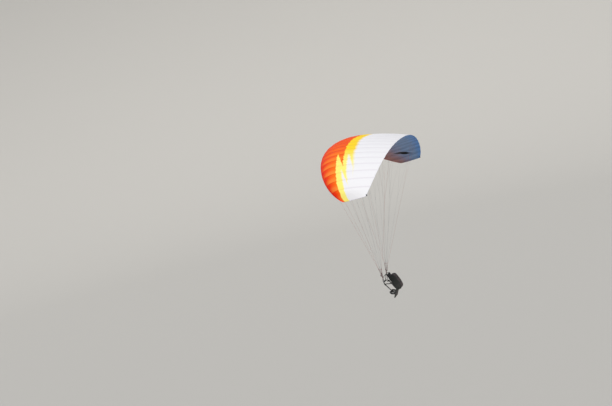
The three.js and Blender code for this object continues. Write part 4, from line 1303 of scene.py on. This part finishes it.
for side, sign in (("left", 1), ("right", -1)):
    middle = Vector((sign * HANG.x, HANG.y, HANG.z + BAR_GAP / 2))
    oval = []
    for corner, (a, b) in enumerate(((1, -1), (1, 1), (-1, 1), (-1, -1))):
        x, z = a * (OVAL_HALF[0] - OVAL_CORNER), b * (OVAL_HALF[1] - OVAL_CORNER)
        for step in range(CORNER_STEPS + 1):
            turn = math.radians(-90 + 90 * corner + 90 * step / CORNER_STEPS)
            bend = Vector((x + math.cos(turn) * OVAL_CORNER, 0, z + math.sin(turn) * OVAL_CORNER))
            oval.append(middle + bend)
    body = rod_along("carabiner", oval, OVAL_ROD, 16, AFT, closed=True)
    gate_side = middle + SIDEWAYS * sign * OVAL_HALF[0]
    pin_way = [gate_side + Vector((0, y, -PIN_DROP)) for y in PIN_REACH]
    body = join_all([body, rod_along("pin", pin_way, PIN_RADII, 12, SIDEWAYS)], f"carabiner_{side}")
    knurl_way = [gate_side + UPRIGHT * (KNURL_FOOT + KNURL_STEP * i) for i in range(KNURLS)]
    end, groove, ridge = KNURL_RADII
    radii = [end] + [ridge if i % 2 else groove for i in range(KNURLS - 2)] + [end]
    sleeve = rod_along(f"gate_sleeve_{side}", knurl_way, radii, 20, AFT)
    dress(body, alloy_finish, "alloy", "wing")
    dress(sleeve, sleeve_metal, "alloy", "wing")
    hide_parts(f"{side}_carabiner")


# Harness, back pad
# A foam pad, covered in knitted mesh and quilted into channels so that air passes. It and the rest of the
# harness are drawn upright about the swing axis, then leaned forwards as they hang in flight.
LEAN = math.radians(23)
WORN = Matrix.Translation((0, HANG.y, HANG.z)) @ Matrix.Rotation(LEAN, 4, "X")
PAD_HALF = (0.150, 0.015, 0.2575)
PAD_MIDDLE = Vector((0, 0.210, -0.0825))
PAD_ROUND = 0.013
PAD_CUTS = 56
QUILT_ACROSS = (-0.052, 0.052)
QUILT_UP = (-0.165, -0.085, 0.0, 0.085, 0.165)
QUILT_WIDTH = 0.009
QUILT_DEPTH = 0.0065
PUFF = 0.0012
PAD_SWELL = 0.0055
SEWN_SHARE = 1.25  # how far past a seam's own width it holds the cloth down
SEWN_FAST = 0.0005  # a point that may move less than this is held
SWELL_FRAMES = 20
PRESSURE = 4
KNIT_DARK = (0.016, 0.017, 0.018)
KNIT_PALE = (0.055, 0.058, 0.060)


def rounded_block(shares, half, radius):
    """A point of a box, by its parts of the way, moved so that the box's edges and corners are rounded."""
    point = Vector([share * h for share, h in zip(shares, half)])
    core = Vector([min(max(c, radius - h), h - radius) for c, h in zip(point, half)])
    over = point - core
    reach = max(abs(c) for c in over)
    return core + over * (reach / over.length) if over.length > 1e-9 else point


def valley(distance, width):
    return math.exp(-((distance / width) ** 2))


def free_of(held):
    """How freely the cloth swells, where held is 1 on a seam and 0 far from it."""
    return 1 - min(1.0, SEWN_SHARE * held)


def soft_block(name, cuts, place):
    """A cube cut into a fine grid on each face, and shaped by place from coordinates between -1 and 1."""
    bpy.ops.object.select_all(action="DESELECT")
    bpy.ops.mesh.primitive_cube_add(size=2)
    block = bpy.context.object
    block.name = name
    bpy.ops.object.mode_set(mode="EDIT")
    bpy.ops.mesh.select_all(action="SELECT")
    bpy.ops.mesh.subdivide(number_cuts=cuts)
    bpy.ops.object.mode_set(mode="OBJECT")
    for vertex in block.data.vertices:
        vertex.co = place(*vertex.co)
    bpy.ops.object.shade_smooth_by_angle(angle=math.radians(60))
    return block


def swell(piece, most, voxel):
    """Swells a padded piece as cloth under pressure. most(point) is how far a point may move: 0 holds it."""
    choose(piece)
    piece.data.remesh_voxel_size = voxel
    bpy.ops.object.voxel_remesh()
    starts = [vertex.co.copy() for vertex in piece.data.vertices]
    limits = [most(start) for start in starts]
    sewn = piece.vertex_groups.new(name="sewn")
    sewn.add([i for i, limit in enumerate(limits) if limit < SEWN_FAST], 1.0, "REPLACE")
    cloth = piece.modifiers.new("cloth", "CLOTH")
    cloth.settings.vertex_group_mass = sewn.name
    cloth.settings.use_pressure = True
    cloth.settings.uniform_pressure_force = PRESSURE
    cloth.settings.effector_weights.gravity = 0
    for number in range(1, SWELL_FRAMES + 1):
        bpy.context.scene.frame_set(number)
    bpy.ops.object.modifier_apply(modifier=cloth.name)
    for vertex, start, limit in zip(piece.data.vertices, starts, limits):
        moved = vertex.co - start
        if moved.length > limit:
            vertex.co = start + moved * (limit / moved.length)
    bpy.context.scene.frame_set(1)
    piece.vertex_groups.clear()
    finer = piece.modifiers.new("finer", "SUBSURF")
    finer.levels = finer.render_levels = 1
    bpy.ops.object.modifier_apply(modifier=finer.name)
    bpy.ops.object.shade_smooth()


def wear(piece, finish, slot):
    """Leans a piece of the harness forwards, and dresses it."""
    piece.data.transform(WORN)
    dress(piece, finish, slot, "harness")


def quilting(x, z):
    """1 along the pad's sewn channels, and 0 between them."""
    distances = [x - q for q in QUILT_ACROSS] + [z - q for q in QUILT_UP]
    return max(valley(distance, QUILT_WIDTH) for distance in distances)


def pad_place(a, b, c):
    point = rounded_block((a, b, c), PAD_HALF, PAD_ROUND)
    if b < 0:
        rim = min(PAD_HALF[0] - abs(point.x), PAD_HALF[2] - abs(point.z))
        puff = noise.noise(point * 22) * PUFF
        point.y += -b * (QUILT_DEPTH * quilting(point.x, point.z) + puff) * smooth_step(0.004, 0.016, rim)
    return PAD_MIDDLE + point


def pad_swell(point):
    off = point - PAD_MIDDLE
    return PAD_SWELL * smooth_step(0.004, -0.008, off.y) * free_of(quilting(off.x, off.z))


back_pad = soft_block("harness_back_pad_foam", PAD_CUTS, pad_place)
swell(back_pad, pad_swell, 0.005)
pad_finish = knit_finish("pad_mesh", KNIT_DARK, KNIT_PALE, stitch=0.0042)
wear(back_pad, pad_finish, "harness_padding")
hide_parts("harness_back_pad")


# Harness, container
# A bag of coated pack cloth behind the pad, which holds the foam protector and packs the wing away. A warm
# grey back panel meets blackish green sides in piped seams, a zip runs round it, and two straps draw it in.
PACK_HALF = (0.160, 0.190, 0.2575)
PACK_FRONT = 0.2253
PACK_MIDDLE = -0.1575
PACK_ROUND = 0.062
PACK_CUTS = 64
PACK_DEPTH = ((-0.5, 0.72), (-0.38, 0.88), (-0.2, 0.98), (0.05, 1.0), (0.28, 0.94), (0.43, 0.82), (0.5, 0.70))
PACK_SEAM = 0.74  # the piped seams' place across the back panel
PACK_STRAPS = (0.34, -0.30)  # the drawing-in straps' heights
PACK_SWELL = 0.009
FOLD = 0.006
CRINKLE = 0.0022
DRAWN_IN = 0.006
PACK_INSET = 0.004  # how far inside the box the cloth lies, before its folds
PACK_SEAM_DEPTH = 0.003
PANEL_EDGE = (0.121, 0.118)
PACK_GREEN = (0.010, 0.016, 0.012)
PACK_GREY = (0.056, 0.034, 0.036)
DUST = (0.070, 0.058, 0.052)
RUBBED = (0.085, 0.085, 0.080)
THREAD_GREY = (0.07, 0.07, 0.07)
PIPING_ROD = 0.0028
ZIP_DEPTH = -0.10
ZIP_LIFT = 0.0008
ZIP_TAPE = (0.024, 0.0016)  # width and thickness
ZIP_ROD = 0.0026
DRAW_STRAP = (0.020, 0.0018)
DRAW_LIFT = 0.0020
CLIP_HEX = [(-0.018, -0.009), (0, -0.0135), (0.018, -0.009), (0.018, 0.009), (0, 0.0135), (-0.018, 0.009)]
CLIP_ROD = 0.0030
CLIP_BAR = (-0.017, -0.006, 0.006, 0.017)
CLIP_BAR_ROD = 0.0042
NO_EDGE = 4.0  # a width that a cord's round never reaches, so that its weave has no edge


def pack_place(a, b, c, out=0.0):
    point = rounded_block((a, (b + 1) / 2, c), PACK_HALF, PACK_ROUND)
    heights, depths = zip(*PACK_DEPTH)
    point.y *= float(np.interp(point.z / (2 * PACK_HALF[2]), heights, depths))
    away = Vector((a**5, max(b, 0) ** 5, c**5))
    away = away.normalized() if away.length > 1e-6 else AFT
    strapped = max(valley(c - height, 0.055) for height in PACK_STRAPS) * smooth_step(1.0, 0.8, abs(c))
    folds = noise.noise(Vector((a * 1.6, b * 1.2, c * 3.2)) + Vector((3, 5, 9))) * FOLD
    folds += noise.noise(Vector((a * 5.1, b * 3.7, c * 8.3))) * CRINKLE
    seam = valley(abs(a) - PACK_SEAM, 0.05) * max(b, 0) ** 3 * PACK_SEAM_DEPTH
    point += away * smooth_step(-0.9, -0.5, b) * (folds - PACK_INSET - DRAWN_IN * strapped - seam)
    return Vector((0, PACK_FRONT, PACK_MIDDLE)) + point + away * out


def pack_swell(point):
    a = abs(point.x) / PACK_HALF[0]
    b = 2 * (point.y - PACK_FRONT) / PACK_HALF[1] - 1
    c = (point.z - PACK_MIDDLE) / PACK_HALF[2]
    piped = valley(a - PACK_SEAM, 0.06) * smooth_step(0.3, 0.7, b)
    held = max([piped, valley(b - ZIP_DEPTH, 0.16)] + [valley(c - height, 0.07) for height in PACK_STRAPS])
    return PACK_SWELL * smooth_step(-0.95, -0.6, b) * free_of(held)


pack = soft_block("harness_container_bag", PACK_CUTS, pack_place)
swell(pack, pack_swell, 0.006)

pack_marks, given, out = new_group(
    "coated pack cloth", {"Where": (0, 0, 0), "Thread": 0.0018}, ("Height", "Dust", "Rub"),
)
where = axes(pack_marks, given["Where"])
sideways = sums(pack_marks, "ADD", where["X"], where["Y"])
rows = [sums(pack_marks, "DIVIDE", way, given["Thread"]) for way in (where["Z"], sideways)]
threads = [sums(pack_marks, "SINE", times(pack_marks, row, math.tau)) for row in rows]
put(pack_marks, out["Height"], sums(pack_marks, "MULTIPLY_ADD", times(pack_marks, *threads), 0.5, 0.5))
for label, scale, low, high in (("Dust", 7.0, 0.45, 0.75), ("Rub", 38.0, 0.48, 0.72)):
    put(pack_marks, out[label], ramp(pack_marks, clouds(pack_marks, given["Where"], scale, 5.0), low, high))

pack_finish, tree, shader = new_finish("pack_cloth", 0.62)
upright = add_node(tree, "ShaderNodeMapping")  # turns the weave to the harness's lean
upright.inputs["Rotation"].default_value = (-LEAN, 0, 0)
put(tree, upright.inputs["Vector"], object_place(tree))
marks = use_group(tree, pack_marks, Where=upright.outputs["Vector"])
aside = sums(tree, "ABSOLUTE", axes(tree, upright.outputs["Vector"])["X"])
cloth = mixed(tree, ramp(tree, aside, *PANEL_EDGE), PACK_GREEN, PACK_GREY)
cloth = mixed(tree, times(tree, marks["Dust"], 0.40), cloth, DUST)
cloth = mixed(tree, times(tree, marks["Rub"], 0.35), cloth, RUBBED)
put(tree, shader.inputs["Base Color"], mixed(tree, times(tree, marks["Height"], 0.25), cloth, THREAD_GREY))
raise_surface(tree, shader, marks["Height"], 0.45, 0.0006)
wear(pack, pack_finish, "harness_cloth")
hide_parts("harness_container")


def pack_way(start, end, steps, out):
    """Points at even steps over the bag, from one place to another and held off its cloth."""
    places = [[s + (e - s) * i / steps for s, e in zip(start, end)] for i in range(steps + 1)]
    return [pack_place(*place, out) for place in places]


ways = [pack_way((a, 1, -0.97), (a, 1, 0.97), 70, 0.0005) for a in (-PACK_SEAM, PACK_SEAM)]
piping = join_all([rod_along("piping", way, PIPING_ROD, 8, SIDEWAYS) for way in ways], "harness_piping")
zip_way = pack_way((1, ZIP_DEPTH, -0.9), (1, ZIP_DEPTH, 0.9), 60, ZIP_LIFT)
zip_way += pack_way((0.92, ZIP_DEPTH, 1), (-0.92, ZIP_DEPTH, 1), 36, ZIP_LIFT)
zip_way += pack_way((-1, ZIP_DEPTH, 0.9), (-1, ZIP_DEPTH, -0.9), 60, ZIP_LIFT)
zip_tape = tape("harness_zip_tape", zip_way, *ZIP_TAPE, AFT)
zip_teeth = rod_along("harness_zip_teeth", zip_way, ZIP_ROD, 8, AFT)
straps, clips = [], []
for height in PACK_STRAPS:
    way = pack_way((1, -0.55, height), (1, 0.95, height), 20, DRAW_LIFT)[:-1]
    way += pack_way((0.96, 1, height), (-0.96, 1, height), 40, DRAW_LIFT)
    way += pack_way((-1, 0.95, height), (-1, -0.55, height), 20, DRAW_LIFT)[:-1]
    straps.append(tape("strap", smooth_path(way[::3], 0.008), *DRAW_STRAP, UPRIGHT))
    clip = pack_place(0.1, 1, height, 0.006)
    corners = [clip + Vector((x, 0, z)) for x, z in CLIP_HEX]
    bar_way = [clip + Vector((x, -0.001, 0)) for x in CLIP_BAR]
    clips.append(bent_loop("clip", corners, 0.004, CLIP_ROD, 8, AFT))
    clips.append(rod_along("clip_bar", bar_way, CLIP_BAR_ROD, 8, UPRIGHT, flat=0.6))

piping_finish = webbing_finish("piping_cloth", (0.04, 0.04, 0.042), (0.12, 0.12, 0.12), NO_EDGE)
strap_finish = webbing_finish("harness_webbing", (0.014, 0.014, 0.016), (0.06, 0.06, 0.062), 0.030)
clip_finish, tree, shader = new_finish("moulded_clip", 0.42)
grain = clouds(tree, object_place(tree), 900.0)
put(tree, shader.inputs["Base Color"], mixed(tree, grain, (0.012, 0.012, 0.013), (0.035, 0.035, 0.036)))
raise_surface(tree, shader, grain, 0.25, 0.0003)
wear(piping, piping_finish, "harness_cloth")
wear(zip_tape, strap_finish, "harness_cloth")
wear(zip_teeth, clip_finish, "harness_cloth")
wear(join_all(straps, "harness_pack_straps"), strap_finish, "harness_webbing")
wear(join_all(clips, "harness_pack_clips"), clip_finish, "harness_webbing")


# Harness, seat
# A stiff board in a padded cover, hinged in cloth at the foot of the back pad and sloping forwards. Two sewn
# channels cross it, and piping closes its edges.
SEAT_HALF = (0.170, 0.1425, 0.017)
SEAT_BACK = Vector((0, 0.195, -0.3406))
SEAT_FRONT = Vector((0, -0.007, -0.542))
SEAT_ROUND = 0.013
SEAT_CUTS = 40
SEAT_CHANNELS = (-0.045, 0.050)
CHANNEL_WIDTH = 0.008
CHANNEL_DEPTH = 0.0045
SEAT_WRINKLE = 0.0015
SEAT_SWELL = 0.004
SEAT_PIPING = 0.0024
LEG_ALONG = 0.58  # the leg loops' place, as a part of the way from the seat's back edge to its front
LEG_PRESS = 0.036  # how wide a band the loops hold down

seat_slope = (SEAT_FRONT - SEAT_BACK).normalized()
seat_down = Vector((0, -seat_slope.z, seat_slope.y))


def seat_place(a, b, c):
    point = rounded_block((a, b, c), SEAT_HALF, SEAT_ROUND)
    seam = max(valley(point.y - q, CHANNEL_WIDTH) for q in SEAT_CHANNELS) * CHANNEL_DEPTH
    rim = min(SEAT_HALF[0] - abs(point.x), SEAT_HALF[1] - abs(point.y))
    point.z -= c * (seam * smooth_step(0.004, 0.014, rim) + abs(noise.noise(point * 18)) * SEAT_WRINKLE)
    along, deep = point.y + SEAT_HALF[1], SEAT_HALF[2] - point.z
    return SEAT_BACK + SIDEWAYS * point.x + seat_slope * along + seat_down * deep


def seat_swell(point):
    along = (point - SEAT_BACK).dot(seat_slope) - SEAT_HALF[1]
    deep = (point - SEAT_BACK).dot(seat_down) / SEAT_HALF[2] - 1
    pressed = valley(along - (2 * LEG_ALONG - 1) * SEAT_HALF[1], LEG_PRESS)
    held = max([pressed] + [valley(along - q, CHANNEL_WIDTH) for q in SEAT_CHANNELS])
    return SEAT_SWELL * smooth_step(0.35, 0.8, abs(deep)) * free_of(held)


seat = soft_block("harness_seat_cushion", SEAT_CUTS, seat_place)
mend(seat)
swell(seat, seat_swell, 0.005)
edges = [(1, -0.9 + 0.06 * i) for i in range(31)] + [(0.92 - 0.08 * i, 1) for i in range(24)]
edges += [(-1, 0.9 - 0.06 * i) for i in range(31)] + [(-0.92 + 0.08 * i, -1) for i in range(24)]
corners = [seat_place(a, b, 0) for a, b in edges]
seat_piping = bent_loop("harness_seat_piping", corners, 0.012, SEAT_PIPING, 8, seat_down)
wear(seat, pack_finish, "harness_cloth")
wear(seat_piping, piping_finish, "harness_cloth")
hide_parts("harness_seat_board")


# Harness, webbing
# Polyester webbing, sewn in a stitched stack below an eye on each carabiner. From there a hip strap runs down
# to the seat's side, a side strap back to the pad, and a padded shoulder strap up and over to the pad's top.
SEAT_SIDE = 0.1718
PAD_SIDE = 0.1518
STRAP_THICK = 0.0026
EYE_RADIUS = 0.0107
EYE_WEBBING = 0.020
EYE_TAIL = (0.0022, -0.026, -0.060)  # half the gap between the eye's two ends, and their heights
STACK_X = 0.2085
STACK_HEIGHTS = (-0.018, -0.034, -0.052, -0.068)
STACK_ROD = 0.0135
HIP_ROUTE = ((0.210, 0.002, -0.030), (0.206, 0.034, -0.140), (SEAT_SIDE + 0.009, 0.075, -0.345),
             (SEAT_SIDE + 0.0005, 0.113, -0.400), (SEAT_SIDE, 0.131, -0.428))
SIDE_ROUTE = ((0.210, 0.004, -0.030), (0.203, 0.030, -0.044), (0.196, 0.080, -0.066),
              (PAD_SIDE + 0.003, 0.183, -0.128), (PAD_SIDE, 0.217, -0.142))
SHOULDER_ROUTE = ((0.206, -0.001, -0.062), (0.188, -0.008, -0.048), (0.152, -0.014, -0.030),
                  (0.142, -0.014, -0.008), (0.142, -0.014, 0.064), (0.139, 0.012, 0.118),
                  (0.118, 0.072, 0.174), (0.098, 0.146, 0.194), (0.095, 0.207, 0.1774),
                  (0.095, 0.223, 0.1768))
# each strap's route, the step along it, its width, the way across it, and its adjuster's place on it
WORN_STRAPS = {
    "hip": (HIP_ROUTE, 0.010, 0.030, Vector((0, 0.83, 0.55)), 0.45),
    "side": (SIDE_ROUTE, 0.010, 0.026, Vector((0, 0.2, 1)), 0.5),
    "shoulder": (SHOULDER_ROUTE, 0.009, 0.042, SIDEWAYS, 0.40),
}
ADJUSTER_HALF = 0.014
ADJUSTER_RIM = 0.004  # how far its frame's middle stands off the strap's edge
ADJUSTER_BARS = (-0.005, 0.006)
ADJUSTER_ROD = 0.0026
ADJUSTER_BAR = 0.0024
PADDING_FLAT = 0.24
SHOULDER_PAD = 0.028  # half its width
PADDED_ROUTE = SHOULDER_ROUTE[5:9]


def eight_corners(u, v):
    """A rectangle's cut corners, u of the way out on its upper and lower sides and v on its others."""
    return [(-1, -v), (-u, -1), (u, -1), (1, -v), (1, v), (u, 1), (-u, 1), (-1, v)]


def adjuster(place, along, wide, width):
    """A ladder buckle on a strap: a rounded frame with two bars across it."""
    over = along.cross(wide)
    half = width / 2 + ADJUSTER_RIM
    corners = [place + wide * a * half + along * b * ADJUSTER_HALF for a, b in eight_corners(0.8, 0.7)]
    parts = [bent_loop("frame", corners, 0.004, ADJUSTER_ROD, 8, over)]
    for shift in ADJUSTER_BARS:
        bar_way = [place + wide * t * (width / 2 + 0.003) + along * shift for t in (-1, -0.3, 0.3, 1)]
        parts.append(rod_along("bar", bar_way, ADJUSTER_BAR, 8, over))
    return parts


def mirrored(points, sign):
    return [Vector((x * sign, y, z)) for x, y, z in points]


for side, sign in (("left", 1), ("right", -1)):
    gap, top, bottom = EYE_TAIL
    turns = np.linspace(math.radians(250), math.radians(-70), 15)
    eye = [(HANG.x, EYE_RADIUS * math.cos(t), EYE_RADIUS * math.sin(t)) for t in turns]
    eye = [(HANG.x, -gap, bottom), (HANG.x, -gap, top), *eye, (HANG.x, gap, top), (HANG.x, gap, bottom)]
    way = smooth_path(mirrored(eye, sign), 0.004)
    straps, fittings = [tape("eye", way, EYE_WEBBING, STRAP_THICK, SIDEWAYS)], []
    for name, (route, step, width, wide, at) in WORN_STRAPS.items():
        way = smooth_path(mirrored(route, sign), step)
        straps.append(tape(name, way, width, STRAP_THICK, wide))
        i = round(at * (len(way) - 1))
        along = (way[i + 1] - way[i - 1]).normalized()
        fittings.append((way[i], along, (wide - along * wide.dot(along)).normalized(), width))
    stack = smooth_path(mirrored([(STACK_X, 0, z) for z in STACK_HEIGHTS], sign), 0.006)
    straps.append(rod_along("stack", stack, STACK_ROD, 16, SIDEWAYS, flat=0.40))
    webbing = join_all(straps, f"harness_straps_{side}")
    pad_way = smooth_path(mirrored(PADDED_ROUTE, sign), 0.008)
    pad_name = f"harness_shoulder_pad_{side}"
    shoulder_pad = padded_rod(pad_name, pad_way, SHOULDER_PAD, 24, SIDEWAYS, PADDING_FLAT, 0.5)
    metal = [part for fitting in fittings for part in adjuster(*fitting)]
    wear(webbing, strap_finish, "harness_webbing")
    wear(shoulder_pad, pad_finish, "harness_padding")
    wear(join_all(metal, f"harness_adjusters_{side}"), steel_finish, "alloy")
    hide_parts(f"harness_{side}_webbing")


# Harness, leg loops
# A ring of webbing on each side, sewn down to the seat, with a padded sleeve over its top and an alloy buckle
# that opens at the front.
LEG_X = 0.088
LEG_RADIUS = 0.084
LEG_WIDTH = 0.046
LEG_SIDES = 56
LEG_LIFT = 0.0018
LOOP_SHARE = 0.985  # the webbing's ring, inside the pad's middle
LEG_PAD = 0.027  # half its width
LEG_PAD_STEPS = 44
LEG_PAD_REACH = math.radians(112)
BUCKLE_HALF = (0.024, 0.020)
BUCKLE_ROD = 0.0036
BUCKLE_BAR = 0.0030
BUCKLE_LIFT = 0.0105
TONGUE = (-0.018, -0.012, 0.012, 0.018)
TONGUE_RADII = [0.009, 0.0125, 0.0125, 0.008]
TONGUE_FLAT = 0.20


def alloy_buckle(name, place, wide, up, out):
    """A forged frame with a middle bar, and the tongue that hooks over it."""
    wide_half, up_half = BUCKLE_HALF
    corners = [place + wide * a * wide_half + up * b * up_half for a, b in eight_corners(0.75, 0.6)]
    bar_way = [place + wide * t * wide_half for t in (-1, -0.4, 0.4, 1)]
    tongue_way = [place + out * BUCKLE_BAR + up * t for t in TONGUE]
    return join_all([
        bent_loop("frame", corners, 0.004, BUCKLE_ROD, 10, out),
        rod_along("bar", bar_way, BUCKLE_BAR, 10, up),
        rod_along("tongue", tongue_way, TONGUE_RADII, 12, wide, flat=TONGUE_FLAT),
    ], name)


for side, sign in (("left", 1), ("right", -1)):
    away = -seat_down
    on_seat = SEAT_BACK.lerp(SEAT_FRONT, LEG_ALONG) + SIDEWAYS * sign * LEG_X
    centre = on_seat + away * (LEG_RADIUS * math.cos(math.pi / 14) + LEG_LIFT)

    def ring_point(turn, radius=LEG_RADIUS):
        return centre + (away * math.cos(turn) + SIDEWAYS * math.sin(turn)) * radius

    ring = [ring_point(t, LEG_RADIUS * LOOP_SHARE) for t in np.linspace(0, math.tau, LEG_SIDES, False)]
    loop = tape(f"leg_loop_{side}", ring, LEG_WIDTH, STRAP_THICK, seat_slope, closed=True)
    arc = [ring_point(t) for t in np.linspace(-LEG_PAD_REACH, LEG_PAD_REACH, LEG_PAD_STEPS)]
    leg_pad = padded_rod(f"leg_pad_{side}", arc, LEG_PAD, 24, seat_slope, PADDING_FLAT, 0.5)
    clasp_place = ring_point(0, LEG_RADIUS + BUCKLE_LIFT)
    clasp = alloy_buckle(f"leg_buckle_{side}", clasp_place, SIDEWAYS, seat_slope, away)
    wear(loop, strap_finish, "harness_webbing")
    wear(leg_pad, pad_finish, "harness_padding")
    wear(clasp, alloy_finish, "alloy")
    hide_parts(f"harness_{side}_leg_loop")
    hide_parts(f"harness_{side}_leg_buckle")


# Harness, chest strap
# A flat strap between the two shoulder straps, with an alloy buckle in the middle. It is made of the same
# polyester webbing as they are.
CHEST_HEIGHT = 0.026
CHEST_FRONT = -0.0168
CHEST_HALF = 0.160
CHEST_WIDTH = 0.038
CHEST_THICK = 0.0019
CHEST_STEPS = 40
CLASP_LIFT = 0.0068

places = np.linspace(-CHEST_HALF, CHEST_HALF, CHEST_STEPS)
chest_way = [Vector((x, CHEST_FRONT, CHEST_HEIGHT)) for x in places]
chest_strap = tape("chest_strap", chest_way, CHEST_WIDTH, CHEST_THICK, UPRIGHT)
clasp_place = Vector((0, CHEST_FRONT - CLASP_LIFT, CHEST_HEIGHT))
chest_buckle = alloy_buckle("chest_buckle", clasp_place, UPRIGHT, SIDEWAYS, -AFT)
wear(chest_strap, strap_finish, "harness_webbing")
wear(chest_buckle, alloy_finish, "alloy")
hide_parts("harness_chest_strap")
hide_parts("harness_chest_buckle")
